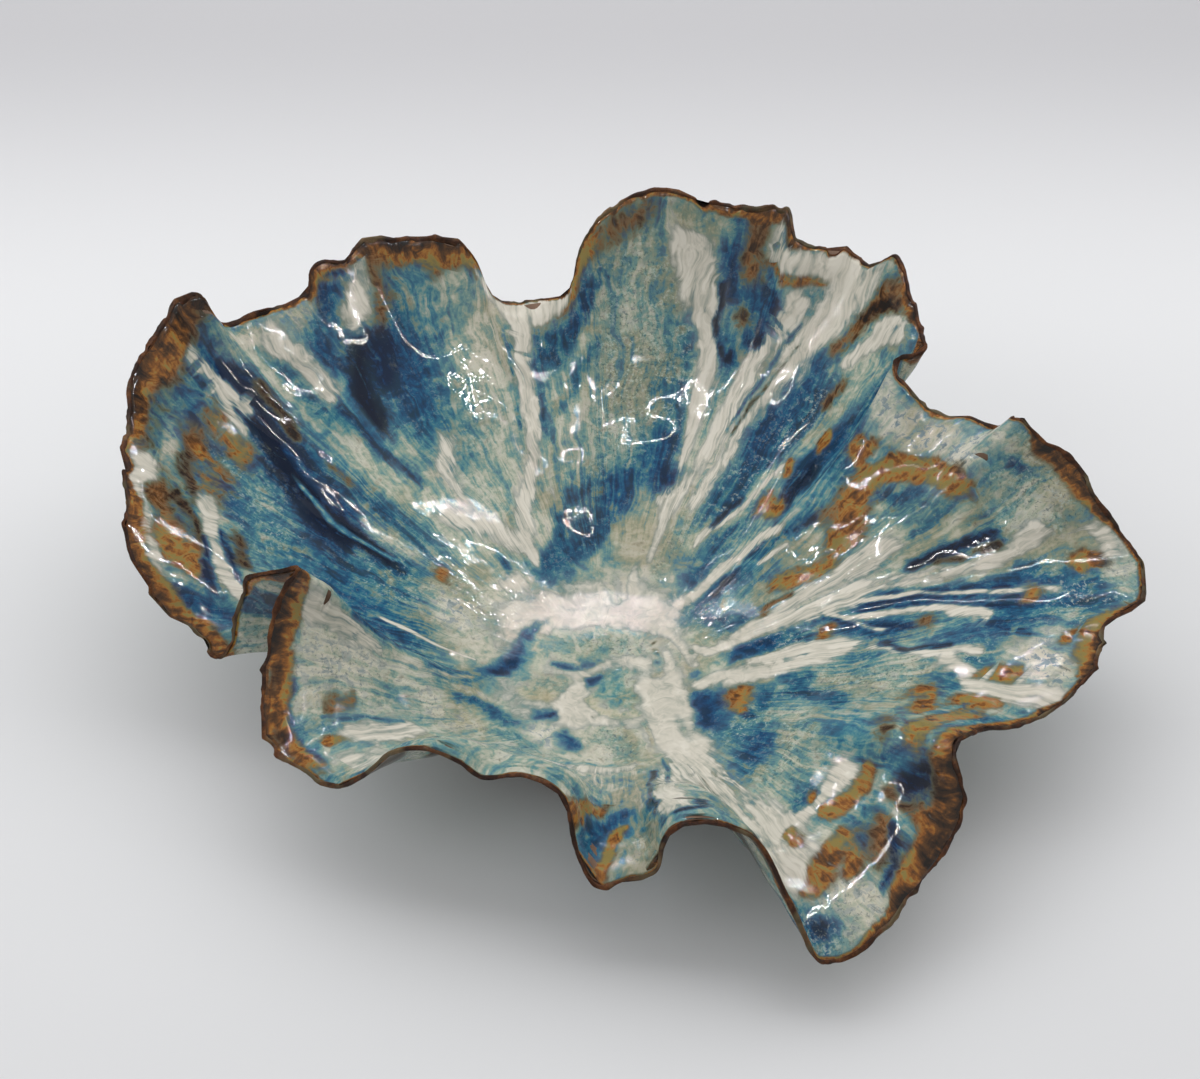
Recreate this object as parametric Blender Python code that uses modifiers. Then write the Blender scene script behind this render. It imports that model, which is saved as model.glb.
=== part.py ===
"""Ruffled stoneware bowl: a thin folded clay wall on a turned foot ring, with a glaze coat
inside, a glaze coat outside and a band of iron wash along the torn rim.

Every layer is first turned flat, as a disc whose height is its depth in the wall, and then
pressed to the folded wall by one mapping, so that the layers stay nested whatever the sizes.
Units are metres, +Z is up, and the bowl stands on z = 0.
"""

import math

import bmesh
import bpy
import numpy as np

MM = 0.001

# Overall sizes.
BOWL_REACH = 210 * MM  # from the middle of the floor to the farthest lobe tip
RIM_RISE = 91 * MM  # from the lowest lobe tip up to the tallest petal
RIM_CLEAR = 19 * MM  # from the table up to the lowest lobe tip

# Foot and floor.
FLOOR_RADIUS = 44 * MM  # where the floor turns into the wall
FLOOR_DISH = 4 * MM  # how far the middle of the floor lies below its edge
FOOT_INSET = 1 * MM  # from the floor's edge in to the foot ring
FOOT_WIDTH = 7 * MM
FOOT_HEIGHT = 9 * MM  # of its outer side, below the clay
FOOT_TAPER = 1.5 * MM  # how much the ring narrows towards the table on each side
FOOT_CHAMFER = 1.0 * MM
FOOT_STEPS = 48

# Wall, coats and clearances.
CLAY_AT_FLOOR = 3.6 * MM
CLAY_AT_RIM = 2.2 * MM
INNER_COAT = 0.8 * MM
OUTER_COAT = 0.5 * MM
WASH_COAT = 0.5 * MM
GAP = 0.36 * MM  # between any two layers

# Where the layers stop, as shares of the way from the middle to the rim.
WALL_START = 0.22  # the floor's edge
OUTER_COAT_START = 0.30  # the coat outside leaves the clay by the foot bare
COAT_END = 0.95
WASH_START = 0.965
LIP_START = 0.985  # where the clay begins to round over to its lip
LIP_SHARE = 0.45  # thickness left at the very lip

# Shape of the wall between floor and rim.
RISE_AT_FLOOR = 14  # degrees
RISE_OF_LOW_RIM = -18  # degrees, at the drooping lobes
RISE_OF_TALL_RIM = 62  # degrees, at the standing petals
DROOPING_BELOW = 0.1  # shares of the rim's rise
STANDING_ABOVE = 0.87
SWING = 0.34  # length of each end tangent, as a share of the span
RIM_ROUNDING = 18 * MM  # length of rim over which its sharpest corners are rounded
RUFFLE_WIDTH = 72 * MM  # ripples narrower than this fade out below the rim
RUFFLE_FADE = 2.4  # power by which they fade
ROOT_SPREAD = 0.14  # how far the columns' roots are evened out round the floor

# Mesh density.
COLUMNS = 104
WALL_RINGS = 6
FLOOR_RINGS = 2
CURVE_STEPS = 40  # samples between two rim stations
SHARE_STEP = 0.02  # reach of the slopes that square the layers to the wall
TURN_STEP = 1 / COLUMNS

# The rim, anticlockwise from the right: bearing in degrees, and reach and height in the same
# unit, which BOWL_REACH and RIM_RISE then set the size of.
RIGHT_LOBE = [
    (0, 192, 49), (5, 195, 53), (9, 190, 59), (12, 183, 67), (16, 179, 74),
    (19, 170, 80), (22, 164, 86), (25, 161, 74), (29, 156, 74), (32, 152, 71),
    (38, 147, 76),
]
RIGHT_SPUR = [(42, 149, 81), (41, 163, 83), (44, 172, 86), (49, 184, 95)]
BACK_RIGHT_PETAL = [
    (52, 189, 99), (55, 190, 89), (59, 194, 91), (65, 187, 93), (68, 198, 101),
    (72, 192, 103), (77, 189, 105), (83, 187, 110), (88, 184, 106), (92, 176, 100),
]
BACK_NOTCH = [(94.5, 171, 88), (96.5, 161, 75), (102, 170, 66), (107, 170, 71)]
BACK_LEFT_PETAL = [
    (108.5, 183, 84), (111, 189, 93), (115, 194, 92), (120.5, 203, 93), (124, 198, 89),
    (128, 199, 90), (131, 195, 81), (136, 197, 83), (141, 202, 82),
]
LEFT_PEAK = [(142.5, 206, 97), (145, 210, 98), (150, 204, 93)]
LEFT_LOBE = [(156, 201, 88), (162, 190, 80), (168, 184, 75), (174, 176, 66), (179, 167, 55)]
LEFT_TONGUE = [(181, 161, 46), (183, 150, 42), (187, 142, 37), (187, 137, 43)]
LEFT_PLEAT = [(184, 131, 61), (184, 127, 70), (186.5, 112, 76), (187, 109, 78), (188, 113, 71)]
FRONT_LEFT_LOBE = [
    (190, 118, 64), (195, 123, 54), (201, 129, 45), (208, 130, 38), (214, 124, 37),
    (219, 121, 36), (223, 114, 43), (227, 106, 56), (233, 101, 62), (238, 96, 57),
    (243, 94, 51), (250, 90, 53), (257, 89, 51), (261, 92, 46),
]
FRONT_TONGUE = [(263.5, 102, 36), (267, 110, 29), (272, 109, 31), (277, 108, 33)]
FRONT_RIGHT_ARCH = [(278, 106, 43), (280, 106, 51), (284, 109, 55), (289, 111, 52), (293, 116, 45)]
FRONT_RIGHT_LOBE = [
    (295, 132, 30), (296, 146, 19), (300, 150, 20), (306, 149, 24), (312, 146, 28),
    (318, 146, 33), (323, 143, 42), (325, 136, 50), (328, 132, 53), (334, 136, 47),
    (338, 144, 43), (341, 152, 41), (345, 161, 43), (351, 171, 47), (356, 177, 50),
]
RIM = (
    RIGHT_LOBE + RIGHT_SPUR + BACK_RIGHT_PETAL + BACK_NOTCH + BACK_LEFT_PETAL + LEFT_PEAK
    + LEFT_LOBE + LEFT_TONGUE + LEFT_PLEAT + FRONT_LEFT_LOBE + FRONT_TONGUE
    + FRONT_RIGHT_ARCH + FRONT_RIGHT_LOBE
)


FLOOR_UNDER = FOOT_HEIGHT + GAP  # underside of the clay at the floor's edge


def comb_roots(bearings):
    """Where each station's column leaves the floor: the bearings, combed so as never to turn back."""
    forward = np.maximum.accumulate(bearings)
    backward = np.minimum.accumulate(bearings[::-1])[::-1]
    combed = (forward + backward) / 2
    even = bearings[0] + 360 * np.arange(len(bearings)) / len(bearings)
    return (1 - ROOT_SPREAD) * combed + ROOT_SPREAD * even


def rim_stations():
    """The rim's stations as rows of x, y, z and the bearing of the column's root."""
    bearing, reach, height = np.array(RIM, float).T
    angle = np.radians(bearing)
    reach = reach / reach.max() * BOWL_REACH
    height = RIM_CLEAR + (height - height.min()) / np.ptp(height) * RIM_RISE
    roots = comb_roots(bearing)
    return np.stack([reach * np.cos(angle), reach * np.sin(angle), height, roots], axis=1)


def closed_curve(stations):
    """The smooth closed curve through the stations, sampled every half millimetre or so."""
    full_turn = np.array([0, 0, 0, 360.0])
    ahead = np.vstack([stations[1:], stations[:1] + full_turn])
    behind = np.vstack([stations[-1:] - full_turn, stations[:-1]])
    span = np.linalg.norm((ahead - stations)[:, :3], axis=1)
    slope = (ahead - behind) / (span + np.roll(span, 1))[:, None]
    start_pull = (slope * span[:, None])[:, None]
    end_pull = (np.roll(slope, -1, axis=0) * span[:, None])[:, None]
    f = np.linspace(0, 1, CURVE_STEPS, endpoint=False)[None, :, None]
    curve = (
        (2 * f**3 - 3 * f**2 + 1) * stations[:, None]
        + (f**3 - 2 * f**2 + f) * start_pull
        + (3 * f**2 - 2 * f**3) * ahead[:, None]
        + (f**3 - f**2) * end_pull
    ).reshape(-1, 4)
    curve = np.vstack([curve, curve[:1] + full_turn])
    run = np.cumsum(np.linalg.norm(np.diff(curve[:, :3], axis=0), axis=1))
    run = np.concatenate([[0], run])
    even = np.linspace(0, run[-1], int(2 * run[-1] / MM), endpoint=False)
    return np.stack([np.interp(even, run, row) for row in curve.T], axis=1)


def softened(rim, width):
    """The rim's points with corners shorter than a width smoothed away by a moving average."""
    half = int(width / MM)
    window = np.hanning(2 * half + 3)[1:-1]
    window /= window.sum()
    around = np.vstack([rim[-half:], rim, rim[:half]])
    return np.stack([np.convolve(row, window, "valid") for row in around.T], axis=1)


class FoldedWall:
    """The middle surface of the wall: turn and share both run from 0 to 1."""

    def __init__(self):
        rim = closed_curve(rim_stations())
        places = softened(rim[:, :3], RIM_ROUNDING)
        soft = softened(rim[:, :3], RUFFLE_WIDTH)
        self.turns = np.linspace(0, 1, len(rim) + 1)
        self.rim = np.vstack([places, places[:1]])
        self.soft = np.vstack([soft, soft[:1]])
        self.roots = np.concatenate([rim[:, 3], rim[:1, 3] + 360])

    def look_up(self, table, turn):
        return np.stack([np.interp(turn % 1, self.turns, row) for row in table.T], axis=1)

    def root_angle(self, turn):
        return np.radians(np.interp(turn % 1, self.turns, self.roots))

    def wall(self, turn, way):
        """Points on the columns, from the floor's edge (way 0) to the rim (way 1)."""
        rim = self.look_up(self.rim, turn)
        soft = self.look_up(self.soft, turn)
        root_angle = self.root_angle(turn)
        end = soft + (rim - soft) * (way**RUFFLE_FADE)[:, None]
        start = np.stack([FLOOR_RADIUS * np.cos(root_angle), FLOOR_RADIUS * np.sin(root_angle),
                          np.full(len(turn), floor_middle(FLOOR_RADIUS))], axis=1)
        span = end - start
        swing = SWING * np.linalg.norm(span, axis=1)[:, None]
        outward = span * [1, 1, 0]
        outward /= np.linalg.norm(outward, axis=1)[:, None]
        height = (end[:, 2] - RIM_CLEAR) / RIM_RISE
        lift = np.clip((height - DROOPING_BELOW) / (STANDING_ABOVE - DROOPING_BELOW), 0, 1)
        rise = np.radians(RISE_OF_LOW_RIM + (RISE_OF_TALL_RIM - RISE_OF_LOW_RIM) * lift)[:, None]
        first_rise = math.radians(RISE_AT_FLOOR)
        up = np.array([[0, 0, 1.0]])
        after_start = start + swing * (math.cos(first_rise) * outward + math.sin(first_rise) * up)
        before_end = end - swing * (np.cos(rise) * outward + np.sin(rise) * up)
        w = way[:, None]
        return (
            (1 - w) ** 3 * start + 3 * (1 - w) ** 2 * w * after_start
            + 3 * (1 - w) * w**2 * before_end + w**3 * end
        )

    def floor(self, turn, share):
        """Points on the dished floor."""
        angle = self.root_angle(turn)
        radius = FLOOR_RADIUS * share / WALL_START
        return np.stack([radius * np.cos(angle), radius * np.sin(angle), floor_middle(radius)], axis=1)

    def middle(self, turn, share):
        way = np.clip((share - WALL_START) / (1 - WALL_START), 0, 1)
        on_floor = (share < WALL_START)[:, None]
        point = np.where(on_floor, self.floor(turn, share), self.wall(turn, way))
        along = self.wall(turn, np.ones(len(turn))) - self.wall(turn, np.full(len(turn), 0.99))
        along /= np.linalg.norm(along, axis=1)[:, None]
        return point + np.clip(share - 1, 0, None)[:, None] * along

    def inward(self, turn, share):
        """Unit vectors square to the wall, on the side that holds things."""
        low = np.clip(share - SHARE_STEP, 0.0, 1 - 2 * SHARE_STEP)
        near, far = self.middle(turn, low), self.middle(turn, low + 2 * SHARE_STEP)
        inside = np.maximum(np.minimum(share, 1), SHARE_STEP)
        right = self.middle(turn - TURN_STEP, inside)
        left = self.middle(turn + TURN_STEP, inside)
        normal = np.cross(far - near, left - right)
        normal /= np.linalg.norm(normal, axis=1)[:, None]
        on_axis = (share < SHARE_STEP)[:, None]
        return np.where(on_axis, [0, 0, 1.0], normal)

    def press(self, flat):
        """Turned flat points (share across, depth up) moved to their places in the wall."""
        share = np.hypot(flat[:, 0], flat[:, 1])
        turn = np.arctan2(flat[:, 1], flat[:, 0]) / (2 * math.pi)
        return self.middle(turn, share) + self.inward(turn, share) * flat[:, 2:]


def floor_middle(radius):
    """Height of the floor's middle surface, a shallow dish."""
    edge = FLOOR_UNDER + CLAY_AT_FLOOR / 2
    return edge - FLOOR_DISH * (1 - (radius / FLOOR_RADIUS) ** 2)


def half_clay(share):
    """Half the clay's thickness, which thins from the floor's edge to the rim."""
    way = min(max((share - WALL_START) / (1 - WALL_START), 0), 1)
    return (CLAY_AT_FLOOR + (CLAY_AT_RIM - CLAY_AT_FLOOR) * way) / 2


def ring_places():
    """Where every layer has its rings, so that the layers' faces lie along each other."""
    floor = np.linspace(0, WALL_START, FLOOR_RINGS + 1)
    wall = np.linspace(OUTER_COAT_START, COAT_END, WALL_RINGS + 1)
    return [*floor, *wall, WASH_START, LIP_START]


def shares_between(first, last):
    return [share for share in ring_places() if first <= share <= last]


def clay_section():
    """Half the clay's section, from the axis over the lip and back to the axis."""
    shares = shares_between(0, LIP_START)
    lip = LIP_SHARE * half_clay(1)
    inside = [(share, half_clay(share)) for share in shares]
    return [*inside, (1, lip), (1, -lip), *((share, -depth) for share, depth in reversed(inside))]


def coat_section(first, last, thickness, side):
    """Half a glaze coat's section: side is 1 for the inside of the bowl and -1 for the outside."""
    shares = shares_between(first, last)
    near = [(share, side * (half_clay(share) + GAP)) for share in shares]
    far = [(share, side * (half_clay(share) + GAP + thickness)) for share in shares]
    return near + far[::-1]


def wash_section():
    """The iron wash's section, a C that wraps the lip."""
    def reach(depth):
        lip = LIP_SHARE * half_clay(1)
        side = [
            (WASH_START, half_clay(WASH_START) + depth),
            (LIP_START, half_clay(LIP_START) + depth),
            (1 + depth, lip + depth / 2),
        ]
        return side + [(share, -deep) for share, deep in reversed(side)]
    return reach(GAP) + reach(GAP + WASH_COAT)[::-1]


def split_quads(bm, wall):
    """Splits each quad along the shorter way across the wall's middle, the same in every layer."""
    quads = [face for face in bm.faces if len(face.verts) == 4]
    corners = np.array([[(*vert.co.xy, 0) for vert in face.verts] for face in quads])
    middle = wall.press(corners.reshape(-1, 3)).reshape(-1, 4, 3)
    first = np.linalg.norm(middle[:, 0] - middle[:, 2], axis=1)
    second = np.linalg.norm(middle[:, 1] - middle[:, 3], axis=1)
    for face, start in zip(quads, (second < first).astype(int)):
        bmesh.utils.face_split(face, face.verts[start], face.verts[start + 2])


def turned_layer(name, section, closed, wall, material, collection):
    """A section turned flat by a spin and then pressed into the folded wall."""
    bm = bmesh.new()
    verts = [bm.verts.new((share, 0, depth)) for share, depth in section]
    links = list(zip(verts, verts[1:])) + ([(verts[-1], verts[0])] if closed else [])
    edges = [bm.edges.new(link) for link in links]
    bmesh.ops.spin(bm, geom=verts + edges, cent=(0, 0, 0), axis=(0, 0, 1), angle=2 * math.pi,
                   steps=COLUMNS, use_merge=True)
    bmesh.ops.remove_doubles(bm, verts=bm.verts, dist=1e-6)
    bmesh.ops.recalc_face_normals(bm, faces=bm.faces)
    split_quads(bm, wall)
    places = wall.press(np.array([vert.co for vert in bm.verts]))
    for vert, place in zip(bm.verts, places):
        vert.co = place
    mesh = bpy.data.meshes.new(name)
    bm.to_mesh(mesh)
    bm.free()
    mesh.shade_smooth()
    mesh.materials.append(material)
    obj = bpy.data.objects.new(name, mesh)
    collection.objects.link(obj)
    return obj


def foot_ring(material, collection):
    """A turned ring whose top follows the underside of the floor, a clearance below it."""
    outer = FLOOR_RADIUS - FOOT_INSET
    inner = outer - FOOT_WIDTH
    def top(radius):
        return floor_middle(radius) - CLAY_AT_FLOOR / 2 - GAP
    profile = [
        (outer, top(outer)),
        (outer - FOOT_TAPER, FOOT_CHAMFER),
        (outer - FOOT_TAPER - FOOT_CHAMFER, 0),
        (inner + FOOT_TAPER + FOOT_CHAMFER, 0),
        (inner + FOOT_TAPER, FOOT_CHAMFER),
        (inner, top(inner)),
        ((inner + outer) / 2, top((inner + outer) / 2)),
    ]
    mesh = bpy.data.meshes.new("foot_ring")
    edges = [(i, (i + 1) % len(profile)) for i in range(len(profile))]
    mesh.from_pydata([(radius, 0, height) for radius, height in profile], edges, [])
    mesh.materials.append(material)
    obj = bpy.data.objects.new("foot_ring", mesh)
    collection.objects.link(obj)
    screw = obj.modifiers.new("turned", "SCREW")
    screw.steps = screw.render_steps = FOOT_STEPS
    screw.use_merge_vertices = True
    screw.merge_threshold = 0.0001
    screw.use_smooth_shade = True
    return obj


def principled(name, colour, roughness, coat=0.0):
    """A plain Principled material."""
    material = bpy.data.materials.new(name)
    material.use_nodes = True
    shader = material.node_tree.nodes["Principled BSDF"]
    shader.inputs["Base Color"].default_value = (*colour, 1)
    shader.inputs["Roughness"].default_value = roughness
    shader.inputs["Metallic"].default_value = 0.0
    shader.inputs["Coat Weight"].default_value = coat
    return material


def clear_scene():
    for obj in list(bpy.data.objects):
        bpy.data.objects.remove(obj, do_unlink=True)


def centre_on_origin(objects):
    """Moves the bowl so that the middle of its box stands over the origin."""
    corners = np.array([vert.co for obj in objects for vert in obj.data.vertices])
    middle = (corners.min(axis=0) + corners.max(axis=0)) / 2
    for obj in objects:
        obj.location = (-middle[0], -middle[1], 0)


def main():
    clear_scene()
    collection = bpy.data.collections.new("ruffled_bowl")
    bpy.context.scene.collection.children.link(collection)
    wall = FoldedWall()
    clay = principled("stoneware", (0.18, 0.10, 0.06), 0.75)
    iron = principled("iron_wash", (0.16, 0.06, 0.025), 0.45)
    inside = principled("reactive_glaze_inside", (0.24, 0.36, 0.40), 0.12, 0.8)
    outside = principled("reactive_glaze_outside", (0.30, 0.29, 0.25), 0.2, 0.6)
    inner = coat_section(0, COAT_END, INNER_COAT, 1)
    outer = coat_section(OUTER_COAT_START, COAT_END, OUTER_COAT, -1)
    centre_on_origin([
        turned_layer("clay_body", clay_section(), False, wall, clay, collection),
        turned_layer("inner_glaze", inner, False, wall, inside, collection),
        turned_layer("outer_glaze", outer, True, wall, outside, collection),
        turned_layer("rim_wash", wash_section(), True, wall, iron, collection),
        foot_ring(clay, collection),
    ])


if __name__ == "__main__":
    main()
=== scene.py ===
"""Ruffled stoneware bowl: the visible clay, glazes, torn rim and foot, and the stage.

Laid out as a Blender add-on and run as a script. Lengths are metres unless a name says
otherwise. A place on the wall is a turn round the rim, in degrees of its length, and a share
of the way from the middle of the floor (0) to the rim (1).
"""

import functools
import math

import bmesh
import bpy
import numpy as np
from mathutils import Matrix, Vector


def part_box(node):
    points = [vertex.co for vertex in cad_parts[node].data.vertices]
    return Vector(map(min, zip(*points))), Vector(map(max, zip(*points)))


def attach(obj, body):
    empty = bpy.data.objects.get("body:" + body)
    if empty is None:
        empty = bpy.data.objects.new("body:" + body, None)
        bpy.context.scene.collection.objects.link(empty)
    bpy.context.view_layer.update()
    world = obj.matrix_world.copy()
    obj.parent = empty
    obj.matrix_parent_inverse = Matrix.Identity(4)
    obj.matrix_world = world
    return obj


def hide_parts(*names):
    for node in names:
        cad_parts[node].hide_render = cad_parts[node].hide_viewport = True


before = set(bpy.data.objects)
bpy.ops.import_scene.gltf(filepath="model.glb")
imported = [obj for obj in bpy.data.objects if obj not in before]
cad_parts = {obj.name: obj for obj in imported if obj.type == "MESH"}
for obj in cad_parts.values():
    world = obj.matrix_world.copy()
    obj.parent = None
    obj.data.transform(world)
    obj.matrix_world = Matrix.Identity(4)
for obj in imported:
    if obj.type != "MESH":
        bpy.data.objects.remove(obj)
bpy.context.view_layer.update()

bl_info = {
    "name": "Ruffled Stoneware Bowl",
    "version": (1, 0, 0),
    "blender": (4, 5, 0),
    "location": "3D View > Sidebar > Bowl",
    "description": "Builds a ruffled glazed stoneware bowl around its packed solids",
    "category": "Object",
}

MM = 0.001
BODY = "root"
FOOT_LOW, FOOT_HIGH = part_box("foot_ring")
FOOT_MIDDLE = (FOOT_LOW + FOOT_HIGH) / 2

# The wall's driving sizes, as the solids have them.
BOWL_REACH = 210 * MM  # longest reach of the rim from the middle
RIM_RISE = 91 * MM  # height of the rim's highest point over its lowest
RIM_CLEAR = 19 * MM  # height of the rim's lowest point
FLOOR_RADIUS = 44 * MM
FLOOR_DISH = 4 * MM  # how much lower the middle of the floor is than its edge
FLOOR_UNDER = 9.36 * MM  # height of the floor's underside at its edge
CLAY_AT_FLOOR = 3.6 * MM
WALL_START = 0.22  # share at which the floor becomes the wall
RISE_AT_FLOOR = 14  # degrees that the wall climbs where it leaves the floor
RISE_OF_LOW_RIM = -18  # degrees that it climbs at a low and at a tall part of the rim
RISE_OF_TALL_RIM = 62
DROOPING_BELOW = 0.1  # rim heights, from 0 to 1, between which it passes from one to the other
STANDING_ABOVE = 0.87
SWING = 0.34  # how far the wall keeps its climb at either end
RUFFLE_WIDTH = 72 * MM  # length of rim below which a fold is a ruffle that fades downwards
RUFFLE_FADE = 2.4
ROOT_SPREAD = 0.14  # how much the columns' roots are spread evenly round the floor
CURVE_STEPS = 40

# What only the visible surface has.
FINE_ROUNDING = 5 * MM  # length of rim over which its corners are rounded
TURN_STEP = 1 / 420  # steps over which the wall's slope is taken
SHARE_STEP = 0.008
TEAR_RAMP = 0.80  # share from which the wall stretches or shrinks to meet the torn edge
WALL_LENGTH = 0.185  # typical length from the middle of the floor to the rim
RIM_LENGTH = 1.5  # typical length round the rim
CLAY_AT_LIP = 1.1 * MM
SUNK_UNDER_GLAZE = 0.25 * MM  # so that the clay never breaks through its coats
COAT_BEDDED = 0.35 * MM  # how deep in the clay the hidden side of a coat lies
COAT_THINS = 0.955  # share from which a coat thins towards the lip
THINNED = 0.8  # how much of a coat is gone by the lip
CLAY_END = 0.993  # shares at which the layers end inside the lip
INSIDE_END = 0.996
OUTSIDE_START = 0.27
OUTSIDE_END = 0.995
LIP_START = 0.988
LIP_CRUST = 0.18 * MM
LIP_REACH = 0.7 * MM  # how far the rounded lip stands past the wall's edge
FOOT_WIDTH = 7 * MM
FOOT_TAPER = 1.5 * MM  # how much each side of the ring leans in by its sole
FOOT_EDGE = 1 * MM  # height of the ring's rounded lower edge
THROWING_LINE = 0.18 * MM  # depth of the lines that turning leaves

# The rim, anticlockwise from the right: bearing in degrees, and reach and height in the same
# unit, which BOWL_REACH and RIM_RISE then set the size of.
RIGHT_LOBE = [
    (0, 192, 49), (5, 195, 53), (9, 190, 59), (12, 183, 67), (16, 179, 74),
    (19, 170, 80), (22, 164, 86), (25, 161, 74), (29, 156, 74), (32, 152, 71),
    (38, 147, 76),
]
RIGHT_SPUR = [(42, 149, 81), (41, 163, 83), (44, 172, 86), (49, 184, 95)]
BACK_RIGHT_PETAL = [
    (52, 189, 99), (55, 190, 89), (59, 194, 91), (65, 187, 93), (68, 198, 101),
    (72, 192, 103), (77, 189, 105), (83, 187, 110), (88, 184, 106), (92, 176, 100),
]
BACK_NOTCH = [(94.5, 171, 88), (96.5, 161, 75), (102, 170, 66), (107, 170, 71)]
BACK_LEFT_PETAL = [
    (108.5, 183, 84), (111, 189, 93), (115, 194, 92), (120.5, 203, 93), (124, 198, 89),
    (128, 199, 90), (131, 195, 81), (136, 197, 83), (141, 202, 82),
]
LEFT_PEAK = [(142.5, 206, 97), (145, 210, 98), (150, 204, 93)]
LEFT_LOBE = [(156, 201, 88), (162, 190, 80), (168, 184, 75), (174, 176, 66), (179, 167, 55)]
LEFT_TONGUE = [(181, 161, 46), (183, 150, 42), (187, 142, 37), (187, 137, 43)]
LEFT_PLEAT = [(184, 131, 61), (184, 127, 70), (186.5, 112, 76), (187, 109, 78), (188, 113, 71)]
FRONT_LEFT_LOBE = [
    (190, 118, 64), (195, 123, 54), (201, 129, 45), (208, 130, 38), (214, 124, 37),
    (219, 121, 36), (223, 114, 43), (227, 106, 56), (233, 101, 62), (238, 96, 57),
    (243, 94, 51), (250, 90, 53), (257, 89, 51), (261, 92, 46),
]
FRONT_TONGUE = [(263.5, 102, 36), (267, 110, 29), (272, 109, 31), (277, 108, 33)]
FRONT_RIGHT_ARCH = [
    (278, 106, 43), (280, 106, 51), (284, 109, 55), (289, 111, 52), (293, 116, 45),
]
FRONT_RIGHT_LOBE = [
    (295, 132, 30), (296, 146, 19), (300, 150, 20), (306, 149, 24), (312, 146, 28),
    (318, 146, 33), (323, 143, 42), (325, 136, 50), (328, 132, 53), (334, 136, 47),
    (338, 144, 43), (341, 152, 41), (345, 161, 43), (351, 171, 47), (356, 177, 50),
]
RIM = (
    RIGHT_LOBE + RIGHT_SPUR + BACK_RIGHT_PETAL + BACK_NOTCH + BACK_LEFT_PETAL + LEFT_PEAK
    + LEFT_LOBE + LEFT_TONGUE + LEFT_PLEAT + FRONT_LEFT_LOBE + FRONT_TONGUE
    + FRONT_RIGHT_ARCH + FRONT_RIGHT_LOBE
)

# How torn the edge is round the rim: turn in degrees, and how many times the usual depth.
TORN = [
    (0, 0.9), (20, 0.7), (45, 1.1), (60, 1.3), (75, 1.0), (90, 0.6), (105, 0.6), (130, 0.9),
    (150, 0.8), (170, 0.8), (182, 1.4), (196, 1.3), (215, 0.9), (232, 1.3), (242, 1.0),
    (256, 0.4), (272, 0.8), (290, 0.35), (302, 0.6), (315, 0.9), (326, 1.9), (338, 1.1),
    (352, 1.2), (360, 0.9),
]


def soft_noise(x, y, seed):
    """Smooth noise from -1 to 1 on a repeating grid of random heights."""
    heights = np.random.default_rng(seed).uniform(-1, 1, (64, 64))
    column, row = np.floor(x).astype(int), np.floor(y).astype(int)
    across, up = x - column, y - row
    across = across * across * (3 - 2 * across)
    up = up * up * (3 - 2 * up)
    column, row, right, above = column % 64, row % 64, (column + 1) % 64, (row + 1) % 64
    low = heights[row, column] * (1 - across) + heights[row, right] * across
    high = heights[above, column] * (1 - across) + heights[above, right] * across
    return low * (1 - up) + high * up


def round_noise(turn, features, seed):
    """Noise round the rim with about this many features in a full turn."""
    radius = features / (2 * math.pi)
    angle = turn * 2 * math.pi
    return soft_noise(radius * np.cos(angle) + 19.3, radius * np.sin(angle) + 7.7, seed)


def eased(value, low, high):
    """0 below low, 1 above high and a smooth rise between them."""
    way = np.clip((value - low) / (high - low), 0, 1)
    return way * way * (3 - 2 * way)


def torn_depth(turn):
    """How far the torn edge falls short of the rim's smooth line."""
    torn = np.interp(turn * 360 % 360, *zip(*TORN))
    broad = round_noise(turn, 60, 3)
    nibble = np.abs(round_noise(turn, 150, 4))
    fine = round_noise(turn, 420, 5)
    chip = eased(round_noise(turn, 210, 6), 0.35, 0.8)
    return torn * (1.2 * broad + 1.8 * nibble + 0.45 * fine + 1.6 * chip - 0.9) * MM


def undulation(turn, share):
    """The hand-made wall's slow ripples, square to the wall."""
    angle = turn * 2 * math.pi
    x, y = share * np.cos(angle), share * np.sin(angle)
    slow = soft_noise(9 * x + 31, 9 * y + 31, 7)
    quick = soft_noise(21 * x + 31, 21 * y + 31, 8)
    fades = eased(share, 0.12, 0.4)
    return fades * (0.9 * slow + 0.35 * quick) * MM


def comb_roots(bearings):
    """Where each station's column leaves the floor: its bearing, combed never to turn back."""
    forward = np.maximum.accumulate(bearings)
    backward = np.minimum.accumulate(bearings[::-1])[::-1]
    combed = (forward + backward) / 2
    even = bearings[0] + 360 * np.arange(len(bearings)) / len(bearings)
    return (1 - ROOT_SPREAD) * combed + ROOT_SPREAD * even


def rim_stations():
    """The rim's stations as rows of x, y, z and the bearing of the column's root."""
    bearing, reach, height = np.array(RIM, float).T
    angle = np.radians(bearing)
    reach = reach / reach.max() * BOWL_REACH
    height = RIM_CLEAR + (height - height.min()) / np.ptp(height) * RIM_RISE
    roots = comb_roots(bearing)
    return np.stack([reach * np.cos(angle), reach * np.sin(angle), height, roots], axis=1)


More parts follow.
